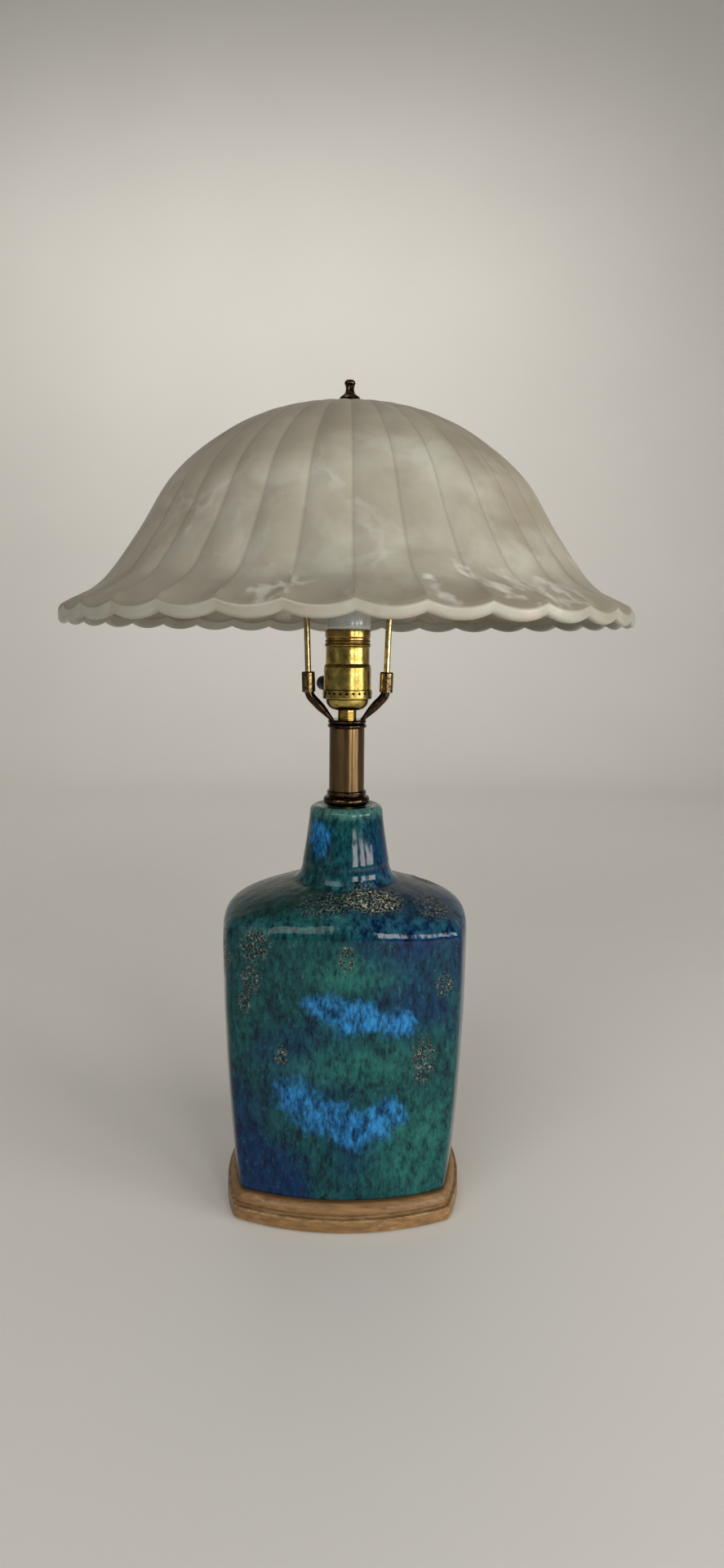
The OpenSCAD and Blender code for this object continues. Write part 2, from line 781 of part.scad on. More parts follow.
// Catmull-Rom curve through the knots; t counts spans
function shade_curve(t) =
    let (i = min(floor(t), spans - 1), f = t - i,
        a = shade_knots[i], b = shade_knots[i + 1], c = shade_knots[i + 2], d = shade_knots[i + 3])
    0.5 * (2 * b + (c - a) * f + (2 * a - 5 * b + 4 * c - d) * f * f
        + (3 * b - a - 3 * c + d) * f * f * f);

// Outward normal of the curve
function shade_normal(t) =
    let (d = shade_curve(min(t + 0.02, spans)) - shade_curve(max(t - 0.02, 0)))
    [-d.y, d.x] / norm(d);

edge_r = 2.4;
lip_z = rim_z + edge_r;

// Outline of the glass in the middle of a flute: outside, rolled lip, inside
shade_outline = concat(
    [[shade_hole_r, shade_top]],
    [for (i = [0:15]) shade_curve(spans * i / 15)],
    [[rim_r, lip_z + 3.4]],
    arc([rim_r - edge_r, lip_z], edge_r, 0, -180, 5),
    [[rim_r - 2 * edge_r - 0.6, lip_z + 3.8]],
    [for (i = [13:-1:0]) let (t = spans * i / 14) shade_curve(t) - glass_t * shade_normal(t)],
    [[shade_hole_r, glass_z]]);

// The flutes grow from nothing near the hole, and lean from downwards to inwards as the dome
// gets steeper; the scallops of the rim start in its flare
flute_steps = 4;
flute_start = 14;
flute_fade = 20;
steep_drop = 60;
steep_least = 0.25;
scallop_start = 165;
scallop_full = rim_r - 5;

function unit(x) = max(0, min(1, x));

// 0 in the middle of a flute and 1 at a crease
function crease(i) = pow((i % flute_steps) / (flute_steps / 2) - 1, 2);

// A point of the glass: p is its radius and height in the middle of a flute, i counts round
function fluted(p, i) =
    let (a = crease_angle + 360 * i / (flutes * flute_steps),
        dip = crease(i) * crease_depth * unit((p.x - flute_start) / flute_fade) * p.x / rim_r,
        steep = max(steep_least, unit((shade_top - p.y) / steep_drop)),
        lift = crease(i) * scallop * unit((p.x - scallop_start) / (scallop_full - scallop_start)),
        r = p.x - dip * steep)
    [r * cos(a), r * sin(a), p.y - dip * (1 - steep) + lift];

module shade() {
    around = [0:flutes * flute_steps - 1];
    color("tan", 0.9) loft([for (p = shade_outline) [for (i = around) fluted(p, i)]], looped = true);
}

module shade_washer() {
    color("goldenrod") translate([0, 0, shade_top]) difference() {
        cylinder(r1 = 13, r2 = 12, h = washer_t);
        translate([0, 0, -1]) cylinder(r = stud_r + gap, h = washer_t + 2);
    }
}

module finial() {
    color("sienna") translate([0, 0, finial_z]) difference() {
        turned(concat(
            [[0, 0], [8.2, 0], [8.6, 0.8], [8.6, 2], [7.6, 3.2], [6.6, 4]],
            [[6.6, 5.4], [7.3, 6.4], [7.3, 7.2]],
            arc([8.4, 13.4], 5.4, -115, -180, 6),
            [[2.9, 14.6], [3.3, 15.4], [3.5, 15.8]],
            arc([1.7, 17.8], 2.2, -50, 90, 8), [[0, finial_h]]));
        translate([0, 0, -1]) cylinder(r = stud_r + 0.1, h = 12.6);
    }
}

felt_pad();
plinth();
cord_bushing();
base_washer();
base_nut();
ceramic_body();
threaded_pipe();
foot_ring();
neck_tube();
top_ring();
harp_saddle();
cap_hub();
hub_set_screw();
socket_cap();
cap_liner();
socket_block();
terminal_screws();
contact_leaf();
center_contact();
screw_shell();
shell_liner();
socket_shell();
switch_shaft();
switch_rotor();
switch_knob();
bulb_contact();
bulb_insulator();
bulb_base();
bulb_glass();
bulb_stem();
bulb_filament();
ferrule_left();
ferrule_right();
harp_bow();
harp_stud();
seat_disc();
shade_gasket();
shade();
shade_washer();
finial();
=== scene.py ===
import math
from math import atan2, cos, hypot, pi, radians, sin

import bpy
import numpy as np
from mathutils import Matrix, Vector, noise


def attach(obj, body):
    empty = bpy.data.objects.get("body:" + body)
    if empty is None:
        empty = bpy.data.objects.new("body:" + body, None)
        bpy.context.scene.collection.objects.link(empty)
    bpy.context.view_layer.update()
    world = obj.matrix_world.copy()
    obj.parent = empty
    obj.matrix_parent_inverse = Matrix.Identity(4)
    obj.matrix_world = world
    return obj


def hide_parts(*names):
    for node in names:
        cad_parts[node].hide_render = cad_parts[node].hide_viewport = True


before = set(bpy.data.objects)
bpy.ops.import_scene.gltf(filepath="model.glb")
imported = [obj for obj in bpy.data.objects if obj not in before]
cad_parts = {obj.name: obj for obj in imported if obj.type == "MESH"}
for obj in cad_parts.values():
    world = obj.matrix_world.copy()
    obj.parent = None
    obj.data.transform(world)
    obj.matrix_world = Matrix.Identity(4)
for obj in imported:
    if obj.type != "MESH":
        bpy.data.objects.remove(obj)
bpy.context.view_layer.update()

# The table lamp's visual model. Shapes are worked out in millimetres in the frame's own axes,
# and each mesh is scaled to metres when it is made. Materials measure in metres.

MM = 0.001
FLUTES = 34
CREASE_AT = radians(-88)
CAP_Z = 326.0
BAND_R = 17.4
DIMPLE_UP = 12.0
DIMPLE_STEP = 15
DAYLIGHT = (1, 0.985, 0.96)


# ---------------- camera, stage and light

def add_camera():
    data = bpy.data.cameras.new("camera")
    data.sensor_width = 36
    data.lens = 19.74
    data.shift_y = -0.088
    data.clip_start = 0.02
    camera = bpy.data.objects.new("camera", data)
    camera.location = (0.01005, -0.6055, 0.371)
    camera.rotation_euler = (pi / 2, -0.0088, 0)
    bpy.context.collection.objects.link(camera)
    bpy.context.scene.camera = camera


def add_light(name, azimuth, elevation, distance, size, power, colour=(1, 1, 1), target=(0, 0, 0.27)):
    """A soft rectangular light. Azimuth 0 is in front of the lamp and 90 is on its right, in degrees."""
    data = bpy.data.lights.new(name, "AREA")
    data.shape = "RECTANGLE"
    data.size, data.size_y = size
    data.energy = power
    data.color = colour
    light = bpy.data.objects.new(name, data)
    a, e = radians(azimuth), radians(elevation)
    away = Vector((sin(a) * cos(e), -cos(a) * cos(e), sin(e)))
    light.location = Vector(target) + away * distance
    light.rotation_euler = away.to_track_quat("Z", "Y").to_euler()
    bpy.context.collection.objects.link(light)


def add_stage(look):
    """A pale floor that curves up into a wall well behind the lamp."""
    bend, back, front, half = 0.7, 2.3, -4.0, 4.5
    section = [(front, 0.0), (back - bend, 0.0)]
    section += [(back - bend + bend * sin(a), bend - bend * cos(a))
                for a in np.linspace(0, pi / 2, 24)[1:]]
    section += [(back, 4.0)]
    points = [(x, y, z) for y, z in section for x in (-half, half)]
    faces = [(2 * i, 2 * i + 1, 2 * i + 3, 2 * i + 2) for i in range(len(section) - 1)]
    mesh = bpy.data.meshes.new("floor")
    mesh.from_pydata(points, [], faces)
    mesh.polygons.foreach_set("use_smooth", [True] * len(mesh.polygons))
    mesh.materials.append(look.material)
    floor = bpy.data.objects.new("floor", mesh)
    bpy.context.collection.objects.link(floor)


def add_world():
    world = bpy.data.worlds.new("studio")
    world.use_nodes = True
    shader = world.node_tree.nodes["Background"]
    shader.inputs["Color"].default_value = (0.93, 0.96, 1, 1)
    shader.inputs["Strength"].default_value = 0.16
    bpy.context.scene.world = world


# ---------------- materials

def srgb(r, g, b):
    """A colour given as 0 to 255 display values, as the linear colour that a node wants."""
    return tuple(c / 3294.6 if c < 10.4 else ((c / 255 + 0.055) / 1.055) ** 2.4 for c in (r, g, b)) + (1.0,)


class Look:
    """A procedural material, built from nodes in the piece's own coordinates, in metres."""

    def __init__(self, name, **constants):
        self.material = bpy.data.materials.new(name)
        self.material.use_nodes = True
        self.tree = self.material.node_tree
        self.shader = self.tree.nodes["Principled BSDF"]
        self.place = self.tree.nodes.new("ShaderNodeTexCoord").outputs["Object"]
        for key, value in constants.items():
            self.shader.inputs[key.replace("_", " ")].default_value = value

    def put(self, socket, value):
        if isinstance(value, bpy.types.NodeSocket):
            self.tree.links.new(value, socket)
        elif socket.type == "VECTOR" and not hasattr(value, "__len__"):
            socket.default_value = (value,) * 3
        else:
            socket.default_value = value

    def set(self, name, value):
        self.put(self.shader.inputs[name], value)

    def node(self, kind, values, **settings):
        made = self.tree.nodes.new("ShaderNode" + kind)
        for key, value in settings.items():
            setattr(made, key, value)
        for key, value in values.items():
            self.put(made.inputs[key], value)
        return made

    def calc(self, operation, a, b=0.0):
        return self.node("Math", {0: a, 1: b}, operation=operation).outputs[0]

    def times(self, a, b):
        return self.calc("MULTIPLY", a, b)

    def plus(self, a, b):
        return self.calc("ADD", a, b)

    def minus(self, a, b):
        return self.calc("SUBTRACT", a, b)

    def vector(self, operation, a, b=(0, 0, 0)):
        made = self.node("VectorMath", {0: a, 1: b}, operation=operation)
        return made.outputs["Value" if operation == "LENGTH" else "Vector"]

    def stretched(self, x, y, z):
        return self.vector("MULTIPLY", self.place, (x, y, z))

    def axis(self, name, vector=None):
        return self.node("SeparateXYZ", {0: vector or self.place}).outputs[name]

    def turned(self):
        """The angle round the lamp's own axis, in radians."""
        return self.calc("ARCTAN2", self.axis("Y"), self.axis("X"))

    def noise(self, scale, place=None, detail=4.0, rough=0.5, distortion=0.0, output="Fac"):
        values = {"Vector": place or self.place, "Scale": scale, "Detail": detail, "Roughness": rough,
                  "Distortion": distortion}
        return self.node("TexNoise", values).outputs[output]

    def cells(self, scale, place):
        """How far it is to the nearest edge of a cell."""
        values = {"Vector": place, "Scale": scale}
        return self.node("TexVoronoi", values, feature="DISTANCE_TO_EDGE").outputs["Distance"]

    def span(self, value, low, high, to_low=0.0, to_high=1.0, smooth=False):
        """The value moved from low..high to to_low..to_high, and held there."""
        values = {"Value": value, "From Min": low, "From Max": high, "To Min": to_low, "To Max": to_high}
        kind = "SMOOTHSTEP" if smooth else "LINEAR"
        return self.node("MapRange", values, interpolation_type=kind).outputs[0]

    def ease(self, value, low, high):
        """1 from high on and 0 up to low, with soft ends."""
        return self.span(value, low, high, smooth=True)

    def patchy(self, low, high, *settings, **named):
        """Noise stretched so that low becomes 0 and high becomes 1."""
        return self.span(self.noise(*settings, **named), low, high)

    def band(self, value, a, b, c, d, smooth=False):
        """0 up to a, 1 from b to c, and 0 again from d."""
        return self.times(self.span(value, a, b, smooth=smooth), self.span(value, d, c, smooth=smooth))

    def mix(self, amount, a, b):
        """Goes from one colour to another. A triple is a display colour, from 0 to 255."""
        a, b = (srgb(*c) if isinstance(c, tuple) and len(c) == 3 else c for c in (a, b))
        return self.node("Mix", {0: amount, 6: a, 7: b}, data_type="RGBA").outputs[2]

    def shaken(self, scale, amount, detail=2.0, place=None):
        """The place, moved about by noise: amount in metres."""
        colour = self.noise(scale, place, detail, output="Color")
        push = self.vector("MULTIPLY", self.vector("SUBTRACT", colour, (0.5, 0.5, 0.5)), (amount,) * 3)
        return self.vector("ADD", place or self.place, push)

    def blob(self, place, centre, radii, soft=0.4):
        """1 inside an ellipsoid and 0 outside it; centre and radii in millimetres."""
        offset = self.vector("SUBTRACT", place, tuple(c * MM for c in centre))
        far = self.vector("LENGTH", self.vector("MULTIPLY", offset, tuple(1000 / r for r in radii)))
        return self.span(far, 1 + soft, 1 - soft, smooth=True)

    def any(self, masks):
        total = masks[0]
        for mask in masks[1:]:
            total = self.calc("MAXIMUM", total, mask)
        return total

    def paint(self, mask, colour, amount=None):
        """Lays a colour over the base colour, where the mask is 1."""
        base = self.shader.inputs["Base Color"].links[0].from_socket
        self.set("Base Color", self.mix(self.times(mask, amount) if amount else mask, base, colour))

    def bump(self, height, distance, strength=1.0):
        made = self.node("Bump", {"Height": height, "Distance": distance, "Strength": strength})
        if self.shader.inputs["Normal"].is_linked:
            self.put(made.inputs["Normal"], self.shader.inputs["Normal"].links[0].from_socket)
        self.set("Normal", made.outputs[0])


def plain(name, colour, spread=0.12, scale=300, grain=900, rough=(0.35, 0.55), relief=0.00008, **constants):
    """A simple finish with colour variation, uneven roughness and a fine grain."""
    look = Look(name, **constants)
    base = srgb(*colour)
    dark = tuple(c * (1 - spread) for c in base[:3]) + (1,)
    light = tuple(min(1, c * (1 + spread)) for c in base[:3]) + (1,)
    blotch = look.noise(scale, detail=5)
    look.set("Base Color", look.mix(look.span(blotch, 0.35, 0.65), dark, light))
    fine = look.noise(grain, detail=6, rough=0.6)
    look.set("Roughness", look.span(fine, 0.3, 0.7, *rough))
    look.bump(fine, relief, 0.6)
    return look


def metal(name, bright, dull, rough, spots, patina=120, upright=(1, 1, 1), relief=0.00003, **constants):
    """An aged metal: bright where it is rubbed, dull patches, dark specks and fine drawing marks."""
    look = Look(name, Metallic=1.0, **constants)
    cloud = look.noise(patina, look.stretched(*upright), detail=6, rough=0.62)
    colour = look.mix(look.span(cloud, 0.36, 0.62), bright, dull)
    speck = look.noise(1500, detail=3, rough=0.6)
    many = look.patchy(0.4, 0.7, 260, detail=3)
    dots = look.times(look.span(speck, 0.6, 0.68), look.times(many, spots))
    dark = tuple(c * 0.25 for c in srgb(*dull)[:3]) + (1,)
    look.set("Base Color", look.mix(dots, colour, dark))
    marks = look.noise(2600, look.stretched(upright[0], upright[1], upright[2] * 0.2), detail=3)
    uneven = look.plus(look.times(cloud, 0.7), look.times(marks, 0.3))
    look.set("Roughness", look.plus(look.span(uneven, 0.3, 0.7, *rough), look.times(dots, 0.25)))
    look.bump(look.plus(marks, look.times(dots, -2)), relief, 0.7)
    return look


def stained(look, rings, amount=0.85, colour=(40, 31, 15)):
    """Adds dark grime that gathers along seams: each ring is a height and a half width, in millimetres."""
    height = look.times(look.axis("Z"), 1000)
    masks = [look.ease(look.calc("ABSOLUTE", look.minus(height, z)), wide, wide * 0.25)
             for z, wide in rings]
    broken = look.span(look.noise(420, detail=4), 0.3, 0.6, 0.4, 1)
    look.paint(look.times(look.any(masks), look.times(broken, amount)), colour)
    return look


def socket_brass():
    """The socket's brass: grime in its seams, punched dimples round the band with painted shade in them, a
    coppery thread at the top.
    """
    look = metal("aged_brass", (196, 172, 96), (128, 110, 54), (0.16, 0.28), 0.9, 170)
    height = look.axis("Z")
    copper = look.times(look.span(height, 0.3695, 0.3705), look.patchy(0.3, 0.6, 300, detail=4))
    look.paint(copper, (156, 104, 56), 0.45)
    stained(look, ((326.6, 2.6), (333.9, 0.7), (340.5, 0.6), (357.6, 0.6), (370.6, 0.8), (374.0, 0.6),
                   (376.4, 0.6)))
    # painted shade: each punched dimple in the band is darkened inside
    turned = look.calc("PINGPONG", look.turned(), radians(DIMPLE_STEP / 2))
    across, up = look.times(turned, BAND_R * MM), look.minus(height, (CAP_Z + DIMPLE_UP) * MM)
    far = look.calc("SQRT", look.plus(look.times(across, across), look.times(up, up)))
    look.paint(look.times(look.span(far, 0.0011, 0.0008), look.span(height, 0.3352, 0.3358)), (22, 16, 8))
    return look


def floor_look():
    look = Look("pale_floor", Roughness=0.6)
    cloud = look.noise(2.2, detail=3)
    look.set("Base Color", look.mix(cloud, (226, 221, 213), (234, 230, 222)))
    look.set("Roughness", look.span(look.noise(40), 0.3, 0.7, 0.5, 0.65))
    return look


# Patches of the glaze, as centre and radii in millimetres: front first, then the back and the sides
SKY = [((-10, -62, 141), (14, 34, 9)), ((10, -62, 134), (18, 34, 10)), ((32, -62, 131), (13, 34, 8)),
       ((-31, -60, 84), (12, 34, 10)), ((-13, -60, 71), (18, 34, 11)), ((11, -60, 63), (19, 34, 11)),
       ((29, -60, 73), (11, 34, 9)), ((-18, -18, 239), (7, 18, 12)),
       ((20, 62, 150), (26, 34, 11)), ((-18, 62, 141), (18, 34, 12)), ((-6, 60, 72), (28, 34, 13)),
       ((26, 60, 60), (16, 34, 10)), ((84, -12, 120), (40, 20, 13)), ((82, 16, 66), (40, 18, 10)),
       ((-84, 14, 132), (40, 20, 12)), ((-80, -8, 62), (40, 22, 12))]
PALE = [((2, -62, 104), (46, 34, 13)), ((48, -60, 50), (26, 34, 30)), ((10, -62, 162), (30, 34, 9)),
        ((0, 60, 108), (50, 34, 16)), ((-50, 60, 50), (26, 34, 28))]
CRATERS = [((21, -42, 206), (20, 14, 9)), ((-12, -46, 203), (19, 11, 8)), ((-58, -58, 178), (10, 24, 10)),
           ((-60, -58, 157), (7, 24, 9)), ((-64, -58, 140), (5, 24, 7)), ((52, -60, 105), (8, 22, 14)),
           ((-39, -64, 109), (5, 20, 7)), ((66, -56, 152), (6, 18, 7)), ((62, -36, 202), (14, 16, 9)),
           ((2, -64, 172), (5, 14, 9)), ((-30, 40, 204), (26, 14, 9)), ((46, 60, 160), (12, 22, 16)),
           ((-52, 60, 104), (8, 22, 18)), ((82, 34, 150), (26, 9, 18)), ((60, 26, 204), (14, 18, 9)),
           ((-84, -36, 168), (26, 9, 14)), ((-80, 38, 96), (26, 8, 15))]


def glaze_look():
    look = Look("glaze", IOR=1.39, Specular_IOR_Level=0.32)
    height, across = look.axis("Z"), look.axis("X")
    fibre = look.noise(480, look.stretched(1, 1, 0.4), detail=5, rough=0.62)
    mottle = look.noise(170, look.stretched(1, 1, 0.6), detail=6, rough=0.66)
    broad = look.noise(17, detail=4, distortion=0.4)
    tone = look.plus(look.times(fibre, 0.45), look.times(mottle, 0.55))
    light = look.span(tone, 0.4, 0.6)
    green = look.mix(light, (0, 30, 40), (22, 78, 76))
    navy = look.mix(light, (0, 14, 44), (4, 48, 88))
    # navy gathers at the upper right and lower left, green at the lower right
    lean = look.times(look.times(across, look.minus(height, 0.115)), 46.0)
    where = look.plus(look.times(broad, 0.75), look.plus(lean, 0.11))
    look.set("Base Color", look.mix(look.ease(where, 0.42, 0.68), green, navy))
    pale = look.any([look.blob(look.shaken(60, 0.02), c, r, 0.7) for c, r in PALE])
    look.paint(look.times(pale, look.span(tone, 0.4, 0.6, 0.1, 0.55)), (44, 112, 100))
    # broken flecks of thin, light glaze and of thick, inky glaze
    flecks = look.patchy(0.58, 0.7, 430, look.stretched(1, 1, 0.5), detail=4, rough=0.7)
    look.paint(flecks, (56, 118, 118), 0.4)
    inky = look.patchy(0.43, 0.32, 260, look.stretched(1, 1, 0.6), detail=5, rough=0.7)
    look.paint(inky, (1, 14, 28), 0.6)
    # sky-blue clouds with feathered, upright edges
    feather = look.shaken(80, 0.02, 3, look.shaken(300, 0.008, 3))
    sky = look.any([look.blob(feather, c, r, 0.45) for c, r in SKY])
    streak = look.plus(look.times(look.span(tone, 0.38, 0.56), 0.72), 0.12)
    blue = look.mix(look.span(tone, 0.4, 0.62), (2, 66, 128), (50, 136, 198))
    look.paint(look.times(sky, streak), blue)
    # the dusty top of the shoulder, a painted reflection of a pale ceiling along its ridge, and the pale
    # break at the lip
    up = look.axis("Z", look.node("NewGeometry", {}).outputs["Normal"])
    top = look.times(look.ease(up, 0.6, 0.97), look.span(height, 0.23, 0.214))
    look.paint(top, (38, 54, 44), 0.4)
    # painted reflection: the tilted ridge of the shoulder is made a lighter teal
    ridge = look.band(up, 0.1, 0.4, 0.7, 0.92, smooth=True)
    look.paint(look.times(ridge, look.span(mottle, 0.42, 0.6)), (54, 112, 116), 0.4)
    lip = look.ease(look.plus(height, look.times(mottle, 0.012)), 0.257, 0.2645)
    look.paint(look.times(lip, look.span(fibre, 0.38, 0.58, 0.25, 0.85)), (84, 128, 116))
    # craters: dark pits, and a broken net that is cream crackle on the shoulder and elsewhere pale grey
    # painted glints
    near = look.shaken(260, 0.006, 3)
    patches = [look.blob(near, c, r, 0.35) for c, r in CRATERS]
    broken = look.patchy(0.42, 0.56, 330, detail=3, rough=0.6)
    pits = look.times(look.any(patches), broken)
    creamy = patches[0]
    cells = look.cells(460, look.shaken(500, 0.0022, 3))
    net = look.times(look.span(cells, 0.15, 0.04), look.patchy(0.42, 0.56, 520))
    look.paint(pits, (5, 15, 16), 0.92)
    # painted highlight: outside the cream shoulder patch the net's pale grey threads stand for glints
    threads = look.mix(creamy, (146, 158, 148), (232, 226, 192))
    look.paint(look.times(net, look.calc("MAXIMUM", pits, look.times(creamy, 0.5))), threads)
    gloss = look.plus(look.span(mottle, 0.3, 0.7, 0.04, 0.12), look.times(top, 0.16))
    look.set("Roughness", look.plus(gloss, look.times(pits, 0.22)))
    runs = look.noise(95, look.stretched(1, 1, 0.3), detail=2)
    look.bump(runs, look.span(up, 0.05, 0.3, 0.0008, 0.003), 0.3)
    look.bump(tone, 0.0002, 0.35)
    look.bump(look.times(pits, look.minus(net, cells)), 0.0009, 0.9)
    return look


# Paler clouds in the shade's glass: centre and radii in millimetres, then how strong
CLOUDS = [((-30, -150, 444), (44, 60, 30), 0.9), ((30, -130, 460), (36, 60, 40), 0.7),
          ((76, -130, 438), (30, 60, 34), 0.55), ((-78, -130, 440), (34, 60, 30), 0.5),
          ((116, -120, 418), (40, 60, 18), 0.8), ((20, -170, 414), (60, 40, 14), 0.55),
          ((-10, 130, 450), (60, 60, 34), 0.8), ((-120, 60, 430), (50, 60, 26), 0.6),
          ((120, 60, 440), (50, 60, 30), 0.7), ((60, 150, 420), (50, 40, 16), 0.6)]
# Where the bright wisps are strongest: centre and radii
WISPS = [((44, -175, 407), (40, 40, 11)), ((104, -140, 404), (18, 50, 9)), ((-16, -150, 455), (20, 50, 14)),
         ((-60, 160, 410), (40, 40, 12))]


def shade_look():
    look = Look("clouded_glass", Subsurface_Weight=0.1, Subsurface_Scale=0.002, IOR=1.5)
    look.shader.inputs["Subsurface Radius"].default_value = (1.0, 0.9, 0.7)
    height = look.axis("Z")
    drift = look.shaken(9, 0.09, 3)
    soft = look.noise(13, drift, detail=5, rough=0.55)
    base = look.mix(look.span(soft, 0.35, 0.65), (136, 126, 107), (158, 149, 131))
    # wisps: thin bright threads where a bent noise passes through its middle value
    bent = look.noise(15, look.shaken(14, 0.05, 3), detail=4, rough=0.55)
    thread = look.ease(look.calc("ABSOLUTE", look.minus(bent, 0.5)), 0.04, 0.0)
    low = look.ease(height, 0.515, 0.465)
    clouds = look.any([look.times(look.blob(drift, c, r, 0.6), s) for c, r, s in CLOUDS])
    veil = look.times(look.patchy(0.38, 0.66, 24, drift, detail=6, rough=0.6), clouds)
    look.set("Base Color", look.mix(look.times(veil, 0.9), base, (198, 196, 182)))
    some = look.patchy(0.45, 0.62, 16, detail=2)
    near = look.blob(look.place, (40, -160, 425), (120, 80, 46), 0.5)
    strong = look.any([look.blob(drift, c, r, 0.6) for c, r in WISPS])
    shown = look.calc("MAXIMUM", strong, look.plus(look.times(near, 0.6), look.times(low, 0.18)))
    wisps = look.times(look.times(thread, some), shown)
    look.paint(wisps, (214, 211, 200))
    tint = look.patchy(0.5, 0.7, 20, look.shaken(10, 0.06), detail=3)
    look.paint(look.times(tint, low), (132, 146, 132), 0.14)
    pale = look.any([look.blob(drift, (0, side * 150, 446), (74, 80, 44), 0.7) for side in (-1, 1)])
    look.paint(pale, (170, 169, 152), 0.34)
    # the lip is paler and glassier, with a crisp edge that follows the scallops and a painted shadow line
    # along that edge
    turned = look.minus(look.turned(), CREASE_AT)
    half = pi / FLUTES
    inward = look.minus(1.0, look.calc("DIVIDE", look.calc("PINGPONG", turned, half), half))
    # painted shade: the glass is darkened along each crease of the flutes
    crease_shade = look.times(look.span(inward, 0.88, 1.0), look.band(height, 0.395, 0.405, 0.525, 0.534))
    look.paint(crease_shade, (98, 88, 72), 0.28)
    edge = look.minus(height, look.times(look.times(inward, inward), 0.0036))
    lip = look.ease(edge, 0.3911, 0.3903)
    # painted shadow: a dark line along the lip's edge, where the glass steps
    look.paint(look.band(edge, 0.39, 0.3906, 0.3912, 0.3938), (98, 90, 72), 0.28)
    glassy = look.mix(look.patchy(0.4, 0.62, 26, detail=3), (158, 153, 138), (164, 166, 154))
    glassy = look.mix(look.patchy(0.58, 0.7, 34, detail=2), glassy, (178, 160, 152))
    look.paint(lip, glassy, 0.75)
    satin = look.span(look.noise(60, detail=4), 0.3, 0.7, 0.42, 0.56)
    look.set("Roughness", look.minus(satin, look.times(lip, 0.16)))
    look.bump(look.noise(2400, detail=2), 0.00006, 0.5)
    look.bump(lip, -0.0004, 0.5)
    look.bump(look.noise(28, detail=2), 0.0012, 0.25)
    return look


def wood_look():
    look = Look("worn_wood", Specular_IOR_Level=0.4)
    height = look.axis("Z")
    grain_place = look.shaken(30, 0.004, 2, look.stretched(0.12, 1, 1))
    rings = look.noise(420, grain_place, detail=5, rough=0.6)
    pores = look.noise(1600, look.stretched(0.06, 1, 1), detail=3)
    base = look.mix(look.span(rings, 0.32, 0.68), (112, 80, 43), (150, 114, 70))
    blotch = look.noise(70, look.stretched(0.6, 1, 1.4), detail=6, rough=0.62)
    look.set("Base Color", look.mix(look.times(look.span(blotch, 0.46, 0.66), 0.45), base, (108, 78, 44)))
    look.paint(look.span(pores, 0.6, 0.7), (62, 44, 27), 0.5)
    # old dark glaze in the cove, a painted shadow on the top under the body, and pale wear along the step's
    # edge
    cove = look.band(height, 0.0085, 0.0095, 0.0105, 0.0125)
    stain = look.times(cove, look.span(look.noise(150, detail=3), 0.25, 0.6, 0.35, 1.0))
    look.paint(stain, (58, 48, 32), 0.45)
    # painted shadow: the plinth's top is darkened where the ceramic body stands on it
    look.paint(look.span(height, 0.0161, 0.0168), (40, 27, 15), 0.6)
    edge = look.band(height, 0.0074, 0.0083, 0.0089, 0.0094)
    wear = look.patchy(0.47, 0.6, 110, look.stretched(0.5, 1, 1), detail=5, rough=0.7)
    look.paint(look.times(edge, wear), (176, 148, 110), 0.8)
    scratch = look.patchy(0.61, 0.66, 520, look.stretched(0.35, 0.3, 1.4), detail=2, distortion=0.3)
    low = look.times(look.span(height, 0.0095, 0.008), look.patchy(0.5, 0.6, 36, detail=2))
    look.paint(look.times(scratch, low), (170, 142, 106))
    look.set("Roughness", look.span(blotch, 0.3, 0.7, 0.34, 0.56))
    look.bump(rings, 0.0004, 0.3)
    look.bump(look.times(look.span(pores, 0.58, 0.68), -1.0), 0.0002, 0.6)
    return look


def felt_look():
    look = Look("felt", Sheen_Weight=0.5, Sheen_Roughness=0.6, Specular_IOR_Level=0.1)
    fuzz = look.noise(1700, detail=6, rough=0.8)
    strands = look.noise(700, look.shaken(300, 0.003, 3), detail=5, rough=0.7)
    look.set("Base Color", look.mix(look.span(strands, 0.3, 0.7), (38, 52, 34), (74, 92, 62)))
    look.set("Roughness", look.span(fuzz, 0.3, 0.7, 0.85, 1.0))
    look.bump(look.plus(fuzz, strands), 0.0006, 0.8)
    return look


def bulb_look():
    look = Look("frosted_bulb", Coat_Weight=0.5, Coat_Roughness=0.08, Subsurface_Weight=0.3,
                Subsurface_Scale=0.01)
    powder = look.noise(500, detail=6, rough=0.7)
    look.set("Base Color", look.mix(look.span(powder, 0.35, 0.65), (178, 173, 167), (192, 187, 181)))
    look.set("Roughness", look.span(look.noise(120, detail=3), 0.3, 0.7, 0.22, 0.34))
    look.bump(powder, 0.00003, 0.4)
    return look


# ---------------- mesh making

def to_mesh(name, points, faces, look, sharp=32):
    mesh = bpy.data.meshes.new(name)
    mesh.from_pydata([tuple(p) for p in np.asarray(points, float) * MM], [], [tuple(f) for f in faces])
    mesh.validate()
    mesh.update()
    mesh.polygons.foreach_set("use_smooth", [True] * len(mesh.polygons))
    mesh.set_sharp_from_angle(angle=radians(sharp))
    mesh.materials.append(look.material)
    return mesh


def add_piece(name, shape, look, body, slot, node, sharp=32):
    """Makes one visible piece from (points, faces) and puts it on its body, in place of its CAD node."""
    piece = bpy.data.objects.new(name, to_mesh(name, *shape, look, sharp))
    bpy.context.collection.objects.link(piece)
    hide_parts(node)
    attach(piece, body)
    return piece


